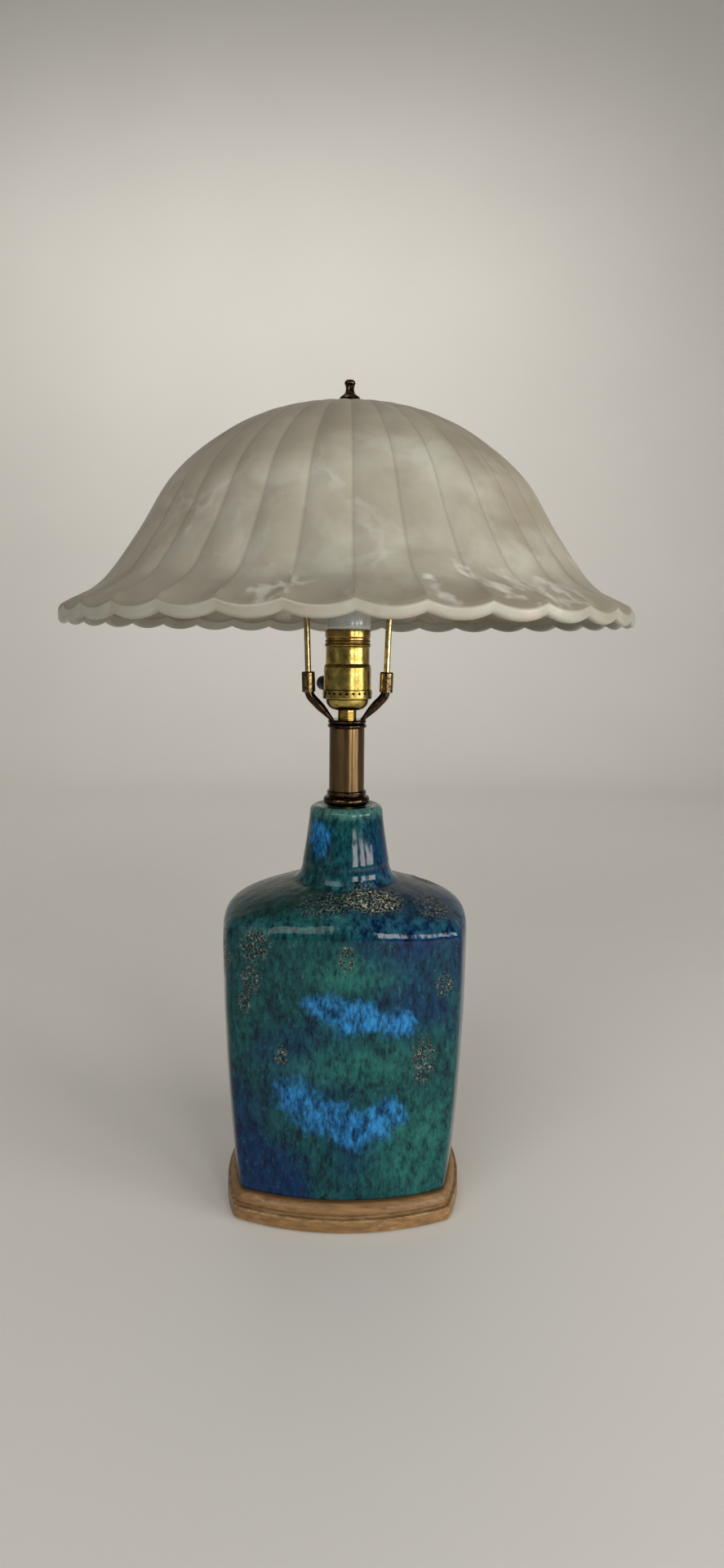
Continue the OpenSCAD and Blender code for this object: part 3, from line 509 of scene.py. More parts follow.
def loft(rings, looped=False):
    """A skin over rings of points. It is closed through the last ring and the first, or by end caps."""
    rings = [np.asarray(r, float) for r in rings]
    n, m = len(rings[0]), len(rings)
    faces = []
    for i in range(m if looped else m - 1):
        low, high = i * n, ((i + 1) % m) * n
        faces += [(low + j, low + (j + 1) % n, high + (j + 1) % n, high + j) for j in range(n)]
    if not looped:
        faces.append(tuple(range(n - 1, -1, -1)))
        faces.append(tuple((m - 1) * n + j for j in range(n)))
    return np.vstack(rings), faces


def ticks(n):
    """0 to 1 in n values, without the 0."""
    return np.linspace(0, 1, n)[1:]


def arc(cx, cy, r, start, end, n):
    return [(cx + r * cos(radians(a)), cy + r * sin(radians(a)))
            for a in np.linspace(start, end, n + 1)]


def soft(corners, closed=True, steps=4):
    """An outline with its corners rounded. Each corner is (r, z) or (r, z, radius)."""
    n = len(corners)
    out = []
    for i, corner in enumerate(corners):
        p = np.array(corner[:2], float)
        size = corner[2] if len(corner) > 2 else 0
        if size == 0 or (not closed and i in (0, n - 1)):
            out.append(tuple(p))
            continue
        a, b = np.array(corners[i - 1][:2], float) - p, np.array(corners[(i + 1) % n][:2], float) - p
        la, lb = np.linalg.norm(a), np.linalg.norm(b)
        a, b = a / la, b / lb
        half = math.acos(max(-1, min(1, float(a @ b)))) / 2
        reach = min(size / math.tan(half), 0.49 * la, 0.49 * lb) if half > 1e-3 else 0
        start, end = p + a * reach, p + b * reach
        for t in np.linspace(0, 1, steps + 1):
            out.append(tuple((1 - t) ** 2 * start + 2 * t * (1 - t) * p + t * t * end))
    return out


def dense(outline, step, closed=True):
    """The outline with points added, so that no side is longer than step."""
    out = []
    pairs = list(zip(outline, outline[1:] + outline[:1])) if closed else list(zip(outline, outline[1:]))
    for a, b in pairs:
        count = max(1, math.ceil(math.dist(a, b) / step))
        out += [(a[0] + (b[0] - a[0]) * k / count, a[1] + (b[1] - a[1]) * k / count) for k in range(count)]
    if not closed:
        out.append(outline[-1])
    return out


def turn(outline, steps=96, closed=True, z=0.0):
    """A round piece from an outline of (radius, height): closed for a ring, or open from axis to axis."""
    angles = np.linspace(0, 2 * pi, steps, endpoint=False)
    ca, sa = np.cos(angles), np.sin(angles)
    rings = [np.column_stack([r * ca, r * sa, np.full(steps, h + z)]) for r, h in outline]
    if closed:
        return loft(rings, looped=True)
    body, faces = loft(rings[1:-1], looped=True)
    last = (len(rings) - 3) * steps
    faces = faces[:-steps]
    points = np.vstack([body, [[0, 0, outline[0][1] + z], [0, 0, outline[-1][1] + z]]])
    south, north = len(body), len(body) + 1
    faces += [(south, (j + 1) % steps, j) for j in range(steps)]
    faces += [(north, last + j, last + (j + 1) % steps) for j in range(steps)]
    return points, faces


def turn_open(corners, step, steps, z=0.0):
    """A solid round piece from the corners of its outline, from axis to axis."""
    return turn(dense(soft(corners, closed=False), step, closed=False), steps, closed=False, z=z)


def turn_ring(corners, step, steps, z=0.0):
    return turn(dense(soft(corners), step), steps, z=z)


def rod(r, low, high, steps):
    return turn([(0, low), (r, low), (r, high), (0, high)], steps, closed=False)


def moved(shape, matrix):
    points, faces = shape
    m = np.array(matrix)
    return np.asarray(points) @ m[:3, :3].T + m[:3, 3], faces


def tube_along(path, radii, sides=24):
    """A round bar along points; radii holds one radius, or a (wide, high) pair, for each point."""
    path = [Vector(p) for p in path]
    rings = []
    side = Vector((0, 1, 0))
    for i, p in enumerate(path):
        ahead = (path[min(i + 1, len(path) - 1)] - path[max(i - 1, 0)]).normalized()
        side = (side - ahead * side.dot(ahead)).normalized()
        other = ahead.cross(side)
        wide, high = radii[i] if hasattr(radii[i], "__len__") else (radii[i], radii[i])
        rings.append([p + side * (wide * cos(a)) + other * (high * sin(a))
                      for a in np.linspace(0, 2 * pi, sides, endpoint=False)])
    return loft(rings)


def carved(name, solid, cutters, fused=()):
    """The solid with other closed shapes fused to it and cut out of it, as (points, faces)."""
    look = Look(name + "_scratch")
    made = bpy.data.objects.new(name, to_mesh(name, *solid, look))
    bpy.context.collection.objects.link(made)
    tools = []
    for operation, shapes in (("UNION", fused), ("DIFFERENCE", cutters)):
        for shape in shapes:
            tool = bpy.data.objects.new(name + "_tool", to_mesh(name + "_tool", *shape, look))
            bpy.context.collection.objects.link(tool)
            step = made.modifiers.new(operation, "BOOLEAN")
            step.operation, step.solver, step.object = operation, "EXACT", tool
            tools.append(tool)
    graph = bpy.context.evaluated_depsgraph_get()
    mesh = made.evaluated_get(graph).to_mesh()
    points = np.array([tuple(v.co) for v in mesh.vertices]) / MM
    faces = [tuple(p.vertices) for p in mesh.polygons]
    for item in [made, *tools]:
        bpy.data.objects.remove(item)
    bpy.data.materials.remove(look.material)
    return points, faces


# ---------------- shade

SHADE_TOP = 537.1
GLASS = 4.0
RIM_R = 193.4
LIP_Z = 386.4
LIP_R = 2.4
FLUTE_STEPS = 14
FLUTE_DEPTH = 2.8
SCALLOP = 3.8
KNOTS = np.array([(-12, 0.1), (11, 0), (36, 2.6), (70, 13.4), (100, 32.4), (125, 57.8), (145, 93),
                  (165, 123.2), (182, 137.2), (RIM_R - 1.2, 144.6), (RIM_R + 12, 153)], float)
SPANS = len(KNOTS) - 3


def shade_curve(t):
    """A point of the glass's smooth outer profile: t counts the spans between knots."""
    i = min(int(t), len(KNOTS) - 4)
    f = t - i
    a, b, c, d = KNOTS[i:i + 4]
    p = 0.5 * (2 * b + (c - a) * f + (2 * a - 5 * b + 4 * c - d) * f * f + (3 * b - a - 3 * c + d) * f ** 3)
    return np.array([p[0], SHADE_TOP - p[1]])


def shade_inside(t):
    """The point of the inner profile that faces shade_curve(t)."""
    ahead = shade_curve(min(t + 0.02, SPANS)) - shade_curve(max(t - 0.02, 0))
    normal = np.array([-ahead[1], ahead[0]]) / np.linalg.norm(ahead)
    return shade_curve(t) - GLASS * normal


def shade_outline():
    outer = [tuple(shade_curve(t)) for t in np.linspace(0, SPANS, 92)]
    lip = soft([outer[-1], (RIM_R + 0.3, LIP_Z + 3.6, 2.2), (RIM_R, LIP_Z)], closed=False, steps=6)
    lip += arc(RIM_R - LIP_R, LIP_Z, LIP_R, 0, -180, 12)[1:]
    lip += [(RIM_R - 2 * LIP_R - 0.6, LIP_Z + 3.8)]
    inner = [tuple(shade_inside(t)) for t in np.linspace(13 / 14 * SPANS, 0, 52)]
    under = SHADE_TOP - GLASS
    hole = [(5.9, under), (5.5, under + 0.4), (5.5, SHADE_TOP - 0.4), (5.9, SHADE_TOP)]
    return outer + lip[1:] + inner + hole


def shade_shape():
    around = FLUTES * FLUTE_STEPS
    phase = np.arange(around) % FLUTE_STEPS / FLUTE_STEPS
    dip = (2 * phase - 1) ** 2
    angle = CREASE_AT + 2 * pi * np.arange(around) / around
    rings = []
    for r, z in shade_outline():
        # the flutes begin outside the seat, grow with the radius and fade towards the lip, which is scalloped
        parts = (r - 14) / 20, (r - 180) / 12, (r - 165) / (RIM_R - 170)
        starts, fades, low = (min(1, max(0, x)) for x in parts)
        k = dip * FLUTE_DEPTH * starts * r / RIM_R * (1 - 0.8 * fades)
        steep = max(0.25, min(1, (SHADE_TOP - z) / 60))
        radius = r - k * steep
        height = z - k * (1 - steep) + dip * SCALLOP * low
        rings.append(np.column_stack([radius * np.cos(angle), radius * np.sin(angle), height]))
    points, faces = loft(rings, looped=True)
    # pressed glass is never quite even
    for i, p in enumerate(points):
        wave = noise.noise(Vector(p) * 0.024)
        points[i, :2] *= 1 + 0.0014 * (wave - 2.2)
    return points, faces


# ---------------- ceramic body and plinth

# Half width and half depth of each level, and the radii that the sides are bowed to
PLINTH = (79.5, 64.5)
FELT_PLAN = (75.5, 60.5)
FOOT, BELLY, SHOULDER = (73.7, 57.5), (83.3, 61), (84.4, 62)
SIDE_BOW, FRONT_BOW = 130, 174
PLINTH_TOP = 17.0
SHOULDER_Z = 174.0
CROWN_Z = 210.0
NECK_Z = 260.0
FOOT_EDGE = 1.6
NECK_R = 30.6
NECK_LOW_R = 30.2
LIP_OUT = 25.6
LIP_EDGE = 4.6
ACROSS, UP = 0.85, 3.8


def side_reach(half, bow, a):
    """How far a side bowed to a radius is from the axis, in the direction a."""
    off = bow - half
    return np.sqrt(bow ** 2 - (off * np.sin(a)) ** 2) - off * np.abs(np.cos(a))


def pillow_ring(half, deep, z, square, corner, a):
    """A level ring of the oblong with bowed sides; square is 1 for that outline and 0 for an ellipse."""
    x, y = side_reach(half, SIDE_BOW, a) / half, side_reach(deep, FRONT_BOW, a + pi / 2) / half
    pillow = half * (x ** -corner + y ** -corner) ** (-1 / corner)
    oval = half * deep / np.hypot(deep * np.cos(a), half * np.sin(a))
    r = oval + square * (pillow - oval)
    return np.column_stack([r * np.cos(a), r * np.sin(a), np.full(len(a), z)])


def body_profile():
    """The ceramic's outside, from foot to lip, as (half width, half depth, height, squareness)."""
    start = PLINTH_TOP + FOOT_EDGE
    rows = [(FOOT[0] + x, FOOT[1] + x, z, 1.0) for x, z in arc(-FOOT_EDGE, start, FOOT_EDGE, -90, 0, 5)]
    for t in ticks(112):
        half, deep = np.dot(((1 - t) ** 2, 2 * t * (1 - t), t * t), (FOOT, BELLY, SHOULDER))
        rows.append((half, deep, start + t * (SHOULDER_Z - start), 1.0))
    # the shoulder is a quarter of a superellipse, and a fillet joins it to the neck
    for a in np.radians(62) * ticks(54) ** 1.25:
        u, v = cos(a) ** (2 / ACROSS), sin(a) ** (2 / UP)
        half, deep = (NECK_R + (wide - NECK_R) * u for wide in SHOULDER)
        rows.append((half, deep, SHOULDER_Z + (CROWN_Z - SHOULDER_Z) * v, u ** 8))
    w0, d0, z0, _ = rows[-1]
    low, high = CROWN_Z + 12, NECK_Z - LIP_EDGE
    for t in ticks(20):
        k = 1 - (1 - t) ** 1.9
        rows.append((w0 + (NECK_LOW_R - w0) * k, d0 + (NECK_LOW_R - d0) * k, z0 + (low - z0) * t ** 1.7, 0.0))
    for t in ticks(26):
        r = LIP_OUT + (NECK_LOW_R - LIP_OUT) * (1 - t) ** 1.3
        rows.append((r, r, low + (high - low) * t, 0.0))
    rows += [(x, x, z, 0.0) for x, z in arc(LIP_OUT - LIP_EDGE, high, LIP_EDGE, 12, 90, 8)]
    return rows


def crater_relief(p):
    """How far the glaze stands out at a point: pits and a net of ridges inside the patches."""
    most = 0.0
    for c, r in CRATERS:
        far = math.sqrt(sum(((p[k] - c[k]) / r[k]) ** 2 for k in range(3)))
        most = max(most, min(1, max(0, (1.35 - far) / 0.7)))
    if most == 0:
        return 0.0
    near = noise.voronoi(Vector(p) * 0.42)[0]
    ridge = max(0.0, 1 - (near[1] - near[0]) * 3.2)
    broken = 0.5 + 0.5 * noise.noise(Vector(p) * 0.16)
    return most * (0.42 * ridge - 0.3 * broken)


def body_shape():
    # the front is drawn finer than the rest
    a = np.radians(np.concatenate([np.linspace(-146, -34, 215, endpoint=False),
                                   np.linspace(-34, 214, 185, endpoint=False)]))
    grid = np.array([pillow_ring(*row, 64, a) for row in body_profile()])
    normal = np.cross(np.roll(grid, -1, axis=1) - np.roll(grid, 1, axis=1), np.gradient(grid, axis=0))
    normal /= np.linalg.norm(normal, axis=2, keepdims=True)
    # craters and slow waves, but not on the foot's edge or the lip
    for i in range(6, len(grid) - 7):
        for j, p in enumerate(grid[i].copy()):
            grid[i, j] += normal[i, j] * (crater_relief(p) + 0.18 * noise.noise(Vector(p) * 0.045))
    inside = [(14.5, 14.5, NECK_Z - 1.5, 0), (13.3, 13.3, NECK_Z - 3, 0), (13.3, 13.3, NECK_Z - 6, 0),
              (19.6, 19.6, NECK_Z - 8, 0), (24.6, 24.6, 213, 0), (27, 27, 203.5, 0), (46, 38, 199, 0),
              (66, 49, 191, 0.3), (76, 55, 178, 1), (78, 56, 160, 1), (75, 54.5, 90, 1), (70, 52.5, 40, 1),
              (66, 50, 26, 1), (62, 48, 23, 1), (42.5, 42.5, 23, 0), (42, 42, 22.5, 0), (42, 42, 17.5, 0),
              (42.5, 42.5, 17, 0)]
    inner = [pillow_ring(*row, 110, a) for row in inside]
    return loft(list(grid) + inner, looped=True)


def corner_angles(n=288, pull=0.72):
    """Angles round the plinth's plan, closer together at its four corners."""
    t = np.linspace(0, 2 * pi, n, endpoint=False)
    t = t + pull * np.sin(4 * t) / 4
    return np.arctan2(PLINTH[1] * np.sin(t), PLINTH[0] * np.cos(t))


def plinth_shape():
    """A bead-edged block with a cove above its band, drilled for the pipe, the nut and the cord."""
    band, cove = 9.0, -2.0
    edge = arc(-0.8, 1.8, 0.8, -90, 0, 5)
    edge += soft([(0, 1.8), (0, band, 0.55), (-0.9, band), (cove, band)], closed=False, steps=4)[1:]
    edge += arc(cove, band + 0.9, 0.9, -90, -180, 6)[1:]
    edge += [(-2.2 - 0.55, 10.9), (-2.2, 11.2)]
    edge += [(-2.2 - 5.4 * (1 - cos(a)), 11 + 6 * sin(a)) for a in np.radians(np.linspace(6, 90, 18))]
    a = corner_angles()
    rings = [pillow_ring(PLINTH[0] + x, PLINTH[1] + x, z, 1, 80, a) for x, z in edge]
    cord_hole = Matrix.Translation((0, 50.5, 5.2)) @ Matrix.Rotation(radians(-90), 4, "X")
    tools = [rod(5.4, -1, 20, 48), rod(24, -1, 9, 96),
             moved(rod(3.5, 0, 18, 48), cord_hole), moved(rod(4.1, 12.8, 18, 48), cord_hole)]
    box = [(x, y, z) for z in (-1, 9) for x, y in ((-3.8, 0), (3.8, 0), (3.8, 51.5), (-3.8, 51.5))]
    tools.append((box, [(3, 2, 1, 0), (4, 5, 6, 7), (0, 1, 5, 4), (1, 2, 6, 5), (2, 3, 7, 6), (3, 0, 4, 7)]))
    return carved("plinth_blank", loft(rings), tools)


def felt_shape():
    a = corner_angles()
    edge = [(-0.5, 0), (0, 0.25), (0.05, 0.5), (0, 0.75), (-0.5, 1.0)]
    points, faces = loft([pillow_ring(FELT_PLAN[0] + x, FELT_PLAN[1] + x, z, 1, 80, a) for x, z in edge])
    for i, p in enumerate(points):
        points[i, :2] *= 1 + 0.0022 * noise.noise(Vector(p) * 1.3)
    return points, faces


# ---------------- stem and socket

SHELL_TOP = 382.1
SWITCH_Z = 344.0
SWITCH_ANGLE = 132.0
SADDLE_Z = 316.6
HUB_Z = 319.4
ARM_X = 27.2
ARM_R = 3.2
HARP_LEAN = radians(2)


def on_switch_axis(shape):
    place = Matrix.Translation((0, 0, SWITCH_Z)) @ Matrix.Rotation(radians(SWITCH_ANGLE), 4, "Z")
    return moved(shape, place @ Matrix.Rotation(radians(90), 4, "Y"))


def foot_ring_shape():
    outline = [(5.2, 0), (14.2, 0)] + arc(13.1, 3.25, 3.2, -62, 78, 16)
    outline += [(13.2, 6.9, 0.25), (13.8, 7.4, 0.3), (13.8, 9.2, 0.7), (13.1, 10, 0.4), (12.46, 10, 0.1)]
    outline += [(12.46, 4), (5.2, 4)]
    return turn_ring(outline, 1.2, 128, z=260)


def neck_tube_shape():
    return turn_ring([(11.5, 0, 0.2), (12.4, 0, 0.2), (12.4, 49.4, 0.2), (11.5, 49.4, 0.2)], 2.5, 128, z=264)


def top_ring_shape():
    outline = [(5.2, 0)] + arc(12.25, 1.6, 1.55, -90, 90, 14) + [(12.0, 3.2), (5.2, 3.2)]
    return turn(dense(outline, 1.2), 128, z=313.4)


def saddle_arm(side):
    """One bent arm, flattened where it leaves the plate and round where the ferrule sits on it."""
    path, size = [], []
    for t in np.linspace(0, 1, 14):
        x = 9.4 + t * 14.6
        path.append((side * x, 0, SADDLE_Z + 2 + (x - 9.4) - (1 - t) ** 2))
        grow = min(1, t / 0.75)
        size.append((2.6 + 0.6 * grow, 1.45 + 1.75 * grow * grow * (3 - 2 * grow)))
    bend_from = np.array(path[-1])
    corner = np.array([side * ARM_X, 0, bend_from[2] + (ARM_X - abs(bend_from[0]))])
    end = corner + np.array([0, 0, 4.5])
    for t in ticks(10):
        path.append(tuple((1 - t) ** 2 * bend_from + 2 * t * (1 - t) * corner + t * t * end))
    path += [(side * ARM_X, 0, z) for z in np.linspace(end[2], 346.2, 8)[1:]]
    size += [(ARM_R, ARM_R)] * (len(path) - len(size))
    return tube_along(path, size, 32)


def saddle_shape():
    plate = turn_ring([(5.2, 0), (12.3, 0, 0.4), (13.55, 0.75, 0.9), (13.55, 1.95, 0.9), (12.4, 2.8, 0.5),
                             (5.2, 2.8)], 1.2, 128, z=SADDLE_Z)
    return carved("saddle_blank", plate, [rod(6.9, HUB_Z, 340, 64)], [saddle_arm(1), saddle_arm(-1)])


def cap_hub_shape():
    outline = [(5, 0), (6.6, 0, 0.25), (6.6, 6.55, 0.1), (6, 6.6), (6, 7.3), (7.4, 7.3, 0.2), (7.4, 8.3, 0.2),
               (5, 8.3)]
    return turn_ring(outline, 1.0, 96, z=HUB_Z)


def socket_cap_shape():
    outer = [(6.1, 0), (7.4, 0)] + arc(7.5, 7.6, 7.6, -88, 0, 16)[1:]
    outer += [(15.1, 7.5), (15.4, 7.85), (16.9, 8.0), (17.3, 8.3), (BAND_R, 8.8)]
    outer += [(BAND_R, z) for z in np.arange(9.2, 13.6, 0.2)] + [(17.35, 13.8), (17.1, 14.1), (16.85, 14.2)]
    inner = [(16.75, 14.1), (16.75, 8.9), (16.2, 8.6), (14.6, 8.2), (14.4, 7.8)]
    inner += arc(7.5, 7.6, 6.9, 0, -88, 12)[1:] + [(6.1, 0.7)]
    points, faces = turn(outer + inner, 480, z=CAP_Z)
    # a row of punched dimples round the rolled band
    for i, p in enumerate(points):
        r, z = hypot(p[0], p[1]), p[2] - CAP_Z
        if r < 17.0 or not 8.8 < z < 13.7:
            continue
        a = math.degrees(atan2(p[1], p[0])) % DIMPLE_STEP
        across = radians(min(a, DIMPLE_STEP - a)) * BAND_R
        deep = max(0.0, 1 - (across ** 2 + (z - DIMPLE_UP) ** 2) / 0.62 ** 2)
        points[i, :2] *= 1 - 0.5 * min(1, deep * 1.6) / r
    return points, faces


def socket_shell_shape():
    top = SHELL_TOP
    outer = [(16.6, 335.0), (16.6, 355.6, 0.5), (16.45, 356.4, 0.5), (15.55, 358.0, 0.5), (15.4, 358.7, 0.5),
             (15.4, top - 12, 0.2)]
    # the shade ring's thread
    outer += [(r, top - down, soften) for r, down, soften in (
        (16.05, 11.5, 0.3), (16.25, 10.6, 0.3), (16.05, 9.9, 0.2), (15.5, 9.3, 0.2), (15.45, 8.9, 0.2),
        (15.95, 8.4, 0.2), (15.95, 7.9, 0.2), (15.45, 7.1, 0.2), (15.45, 5.6, 0.2), (16, 4.9, 0.2),
        (16, 0.5, 0.3), (15.6, 0, 0.2))]
    inner = [(14.95, top - 0.1, 0.1), (14.9, 358.7), (16.0, 355.4), (16.1, 335.0)]
    return carved("shell_blank", turn_ring(outer + inner, 2.0, 160),
                  [on_switch_axis(rod(2.4, 0, 25, 32))])


def switch_knob_shape():
    """A turned knob with shallow grips round its side."""
    outline = [(1.72, 20.5), (3.4, 20.5, 0.3), (4.4, 22.4), (4.5, 22.5, 0.2), (5.2, 23.9, 0.6), (5.2, 27.1)]
    outline += arc(1.8, 27.1, 3.4, 0, 88, 10) + [(0, 30.5)]
    outline = dense(soft(outline, closed=False), 0.5, closed=False)
    outline = [(0, 27.0), (1.72, 27.0)] + outline
    points, faces = turn(outline, 144, closed=False)
    for i, p in enumerate(points):
        r, z = hypot(p[0], p[1]), p[2]
        if r > 3.6 and 23.4 < z < 29.4:
            grip = 0.5 - 0.5 * cos(18 * atan2(p[1], p[0]))
            points[i, :2] *= 1 - 0.22 * (1 - grip) * min(1, (z - 23.4) / 0.8, (29.4 - z) / 1.5) / r
    return on_switch_axis((points, faces))


def ferrule_shape(side):
    outline = [(3.85, 0, 0.1), (4.5, 0, 0.2), (4.75, 0.5, 0.25), (4.7, 1.2, 0.2), (4.7, 13),
               (4.68, 13.4, 0.5), (4.3, 14.3, 0.6), (3.95, 14.3, 0.2), (3.85, 13.9, 0.2)]
    place = Matrix.Translation((side * ARM_X, 0, 338.4)) @ Matrix.Rotation(side * HARP_LEAN, 4, "Y")
    return moved(turn_ring(outline, 1.0, 64), place)


# ---------------- harp, stud and finial

def bend(path, r, degrees, n):
    """Goes on from the end of a path of (x, z, heading) round a bend; headings are from +Z towards +X."""
    x, z, h = path[-1]
    side = 1 if degrees > 0 else -1
    for t in np.radians(degrees) * ticks(n + 1):
        path.append((x + side * r * (cos(h) - cos(h + t)), z + side * r * (sin(h + t) - sin(h)),
                     h + t))


def harp_shape():
    lean, foot = HARP_LEAN, 346.8
    path = [(ARM_X + 8.4 * sin(lean), foot, lean)]
    for d in np.linspace(0, 37, 14)[1:]:
        path.append((path[0][0] + d * sin(lean), foot + d * cos(lean), lean))
    bend(path, 60, 28, 12)
    bend(path, 95, -65, 30)
    bend(path, 28, -90 - math.degrees(path[-1][2]), 20)
    top = path[-1][1]
    half = [(x, 0, z) for x, z, h in path]
    whole = half + [(-x, 0, z) for x, _, z in reversed(half)]
    size = []
    for x, _, z in whole:
        flat = max(0.0, 1 - abs(x) / 16) if z > top - 6 else 0
        size.append((2.2 + 1.6 * flat, 2.2 - 0.3 * flat))
    wire = tube_along(whole, size, 28)
    stop = turn_open([(0, 0), (2.9, 0, 0.3), (2.9, 2.5, 0.6), (0, 2.5)], 0.8, 48)
    stops = [moved(stop, Matrix.Translation((s * path[0][0], 0, foot)) @ Matrix.Rotation(s * lean, 4, "Y"))
             for s in (1, -1)]
    eye = turn_open([(0, -2), (7, -2, 0.7), (7, 2, 0.7), (0, 2)], 1.0, 96, top)
    return carved("harp_blank", wire, [rod(3, top - 4, top + 4, 64)], [*stops, eye])


def seat_disc_shape():
    outline = [(3.12, 527.9), (6, 527.9, 0.3), (6, 529.6), (11.2, 529.6, 0.3), (11.8, 530.2, 0.3),
               (12, 531.2, 0.3), (11.7, 531.6, 0.2), (3.12, 531.6)]
    return turn_ring(outline, 1.2, 96)


def gasket_shape():
    return turn_ring([(3.4, 531.6, 0.4), (10.4, 531.6, 0.5), (10.4, 533.1, 0.5), (3.4, 533.1, 0.4)], 0.8, 96)


def shade_washer_shape():
    return turn_ring([(3.4, 537.1), (12.9, 537.1, 0.15), (12.2, 538.1, 0.3), (3.4, 538.1)], 1.0, 96)


def finial_shape():
    outline = [(0, 11.6), (3.2, 11.6), (3.2, 0), (8.2, 0, 0.2), (8.6, 0.8, 0.2), (8.6, 2, 0.3),
               (7.6, 3.2, 0.4), (6.6, 4, 0.3), (6.6, 5.4, 0.3), (7.3, 6.4, 0.2), (7.3, 7.2, 0.3)]
    outline += arc(8.4, 13.4, 5.4, -115, -180, 10) + [(2.9, 14.6, 0.3), (3.3, 15.4, 0.2)]
    outline += arc(1.7, 17.8, 2.2, -50, 88, 12) + [(0, 20)]
    return turn_open(outline, 0.8, 96, 538.1)


# ---------------- bulb

def bulb_glass_shape():
    base_top, top = SHELL_TOP - 2, SHELL_TOP
    mid, r, throat_r, throat_z = 437.4, 30.0, 16.0, SHELL_TOP + 2
    b = (throat_r ** 2 + (mid - throat_z) ** 2 - r ** 2) / (2 * (r - throat_r))
    meet = math.degrees(atan2(mid - throat_z, throat_r + b))

    def line(inset):
        out = [(12.68 - inset, base_top - 7), (12.68 - inset, base_top), (14.1 - inset, top - 0.4),
               (15.6 - inset, top + 1)]
        out += arc(throat_r + b, throat_z, b + inset, 180, 180 - meet, 24)
        return out + arc(0, mid, r - inset, 2 - meet, 90, 44)[:-1] + [(0, mid + r - inset)]

    outer, inner = line(0), line(0.8)
    return turn(outer[::-1] + inner, 128, closed=False)


def bulb_base_shape():
    """The screw cap: a rolled thread on thin metal, closed below by the insulator."""
    z0 = 362.0
    outer = [(10.5, z0, 0.2), (13.0, z0 + 1.8, 0.4)]
    turns = [(13.1 - 0.55 * (0.5 - 0.5 * cos(2 * pi * (z - z0 - 2) / 3.6)), z)
             for z in np.arange(z0 + 2, 378.6, 0.3)]
    outer += turns + [(13.05, 379.0), (13.1, 380.1)]
    inner = [(12.75, 380.1), (12.75, 378.6), (12.2, z0 + 2.4), (10.2, z0 + 2.2)]
    return turn(soft(outer + inner), 96)


# ---------------- the lamp

SOCKET_BRASS = socket_brass()
BRASS = metal("turned_brass", (196, 164, 84), (126, 100, 44), (0.16, 0.3), 0.8, 160)
BRONZE = metal("dark_bronze", (84, 66, 49), (30, 23, 18), (0.1, 0.22), 0.6, 300)
# Turned on a lathe, so its highlights run up the tube
TUBE_BRONZE = metal("antique_bronze", (118, 96, 66), (84, 66, 44), (0.26, 0.34), 0.3, 240,
                    upright=(1, 1, 0.06), relief=0.00001, Anisotropic=0.95, Anisotropic_Rotation=0.25)
WIRE_BRASS = metal("harp_brass", (206, 186, 140), (156, 134, 90), (0.16, 0.28), 0.5, 200)
FERRULE = metal("worn_ferrule", (148, 126, 84), (58, 43, 30), (0.16, 0.32), 0.8, 420)
CONTACT = metal("contact_brass", (206, 176, 108), (170, 138, 74), (0.28, 0.45), 0.3, 260)
STEEL = metal("zinc_steel", (176, 178, 180), (132, 134, 136), (0.28, 0.46), 0.3, 220)
PIPE = metal("pipe_steel", (172, 150, 104), (128, 108, 68), (0.3, 0.5), 0.3, 240)
TIN = metal("tinned_base", (188, 188, 184), (150, 148, 140), (0.24, 0.4), 0.3, 200)
TUNGSTEN = metal("tungsten", (120, 120, 122), (84, 84, 88), (0.4, 0.6), 0.0)
PHENOLIC = plain("black_phenolic", (16, 15, 15), spread=0.5, scale=500, rough=(0.22, 0.4), Coat_Weight=0.2)
BLOCK = plain("brown_phenolic", (58, 34, 24), spread=0.3, rough=(0.35, 0.55))
BUSHING = plain("black_nylon", (24, 24, 25), spread=0.3, rough=(0.45, 0.65), relief=0.00015)
FIBRE = plain("fibre_board", (142, 108, 70), spread=0.2, grain=1400, rough=(0.7, 0.9), relief=0.0002)
RUBBER = plain("rubber", (38, 38, 38), spread=0.25, rough=(0.7, 0.9), relief=0.00012)
VITRITE = plain("black_glass", (14, 14, 18), spread=0.3, rough=(0.08, 0.2))
STEM_GLASS = plain("clear_glass", (214, 222, 222), spread=0.04, rough=(0.04, 0.1), Transmission_Weight=0.9)
SHADE = shade_look()
GLAZE = glaze_look()
WOOD = wood_look()
FELT = felt_look()
BULB = bulb_look()

add_camera()
add_stage(floor_look())
add_world()
for i, (azimuth, width) in enumerate(((25, 0.45), (47.4, 0.42), (69, 0.66))):
    add_light(f"window_{i}", azimuth, 8, 1.9, (width, 0.48), 20 * width, DAYLIGHT)
add_light("key", -28, 28, 2.3, (1.4, 1.1), 15, DAYLIGHT)
add_light("fill", -55, 20, 2.4, (1.4, 1.6), 3, (0.95, 0.97, 1))
add_light("top", 10, 84, 2.2, (1.6, 1.6), 3, (1, 1, 1))
add_light("wall", 0, 40, 1.4, (2.4, 0.8), 9, (1, 0.99, 0.96), (-0.4, 2.3, 0.9))

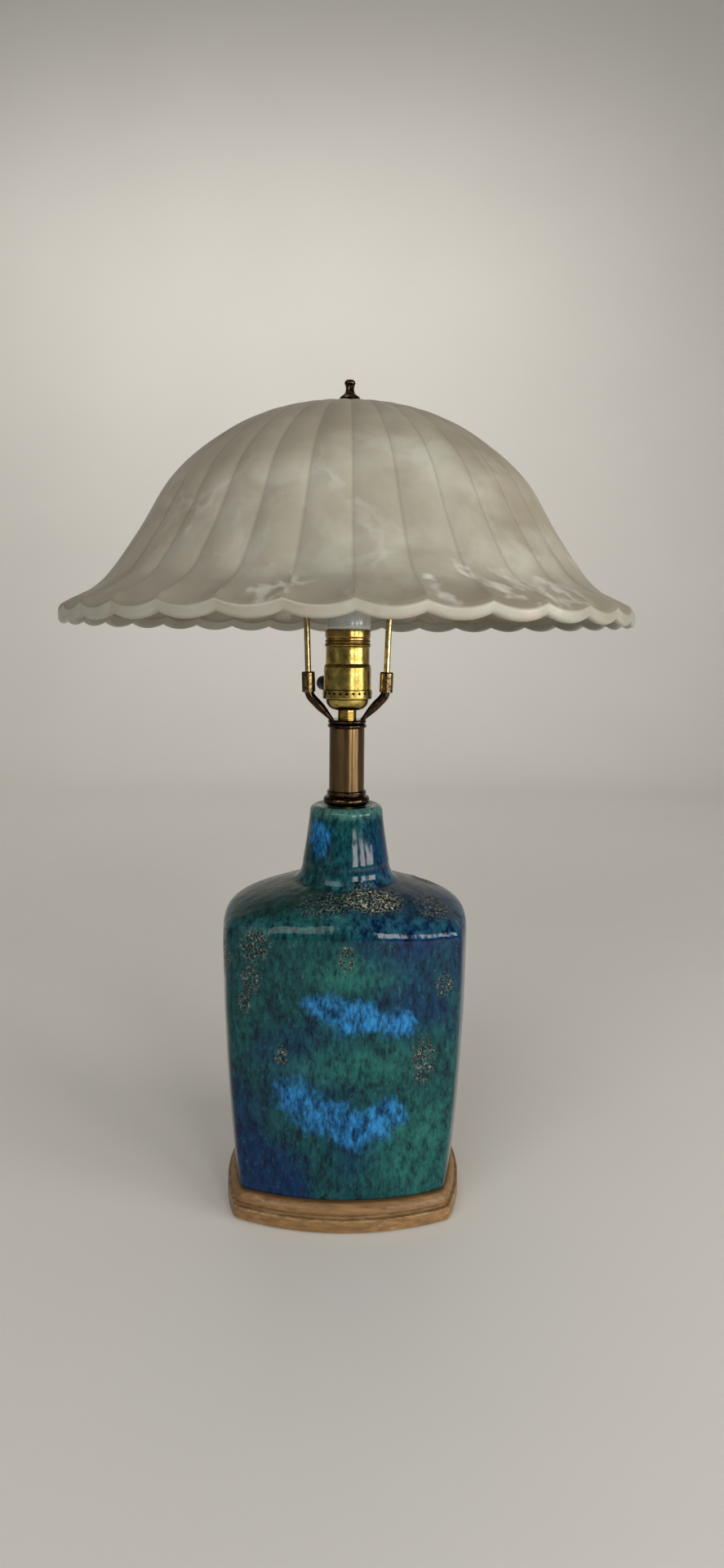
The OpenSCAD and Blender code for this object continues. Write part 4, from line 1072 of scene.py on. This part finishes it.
PIECES = (
    ("fluted_shade", shade_shape(), SHADE, "shade", "shade_glass", "shade"),
    ("glazed_body", body_shape(), GLAZE, "base", "glaze", "ceramic_body", 60),
    ("moulded_plinth", plinth_shape(), WOOD, "base", "wood", "plinth"),
    ("felt_foot", felt_shape(), FELT, "base", "felt", "felt_pad"),
    ("stepped_ring", foot_ring_shape(), BRONZE, "base", "bronze", "foot_ring"),
    ("bronze_tube", neck_tube_shape(), TUBE_BRONZE, "base", "tube_bronze", "neck_tube"),
    ("check_ring", top_ring_shape(), BRONZE, "base", "bronze", "top_ring"),
    ("bent_saddle", saddle_shape(), BRONZE, "base", "bronze", "harp_saddle"),
    ("hub", cap_hub_shape(), BRASS, "base", "brass", "cap_hub"),
    ("dimpled_cap", socket_cap_shape(), SOCKET_BRASS, "base", "brass", "socket_cap"),
    ("rolled_shell", socket_shell_shape(), SOCKET_BRASS, "base", "brass", "socket_shell"),
    ("turn_knob", switch_knob_shape(), PHENOLIC, "switch", "black_plastic", "switch_knob"),
    ("left_sleeve", ferrule_shape(-1), FERRULE, "left_ferrule", "bronze", "ferrule_left"),
    ("right_sleeve", ferrule_shape(1), FERRULE, "right_ferrule", "bronze", "ferrule_right"),
    ("harp_wire", harp_shape(), WIRE_BRASS, "harp", "harp_brass", "harp_bow"),
    ("seat", seat_disc_shape(), BRASS, "stud", "brass", "seat_disc"),
    ("gasket", gasket_shape(), RUBBER, "stud", "rubber", "shade_gasket"),
    ("crown_washer", shade_washer_shape(), BRONZE, "shade", "bronze", "shade_washer"),
    ("turned_finial", finial_shape(), BRONZE, "finial", "bronze", "finial"),
    ("frosted_envelope", bulb_glass_shape(), BULB, "bulb", "bulb_glass", "bulb_glass"),
    ("screw_base", bulb_base_shape(), TIN, "bulb", "tin", "bulb_base"),
)
made = {name: add_piece(name, *row) for name, *row in PIECES}

# CAD nodes whose shape is right already take a better material
for look, nodes in ((STEEL, ("base_washer", "base_nut", "hub_set_screw", "terminal_screws", "switch_shaft")),
                    (PIPE, ("threaded_pipe",)), (BUSHING, ("cord_bushing",)),
                    (FIBRE, ("cap_liner", "shell_liner")), (BLOCK, ("socket_block", "switch_rotor")),
                    (CONTACT, ("contact_leaf", "center_contact", "screw_shell", "harp_stud")),
                    (TIN, ("bulb_contact",)), (VITRITE, ("bulb_insulator",)), (STEM_GLASS, ("bulb_stem",)),
                    (TUNGSTEN, ("bulb_filament",))):
    for node in nodes:
        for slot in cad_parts[node].material_slots:
            slot.material = look.material

bpy.context.scene.view_settings.view_transform = "Standard"
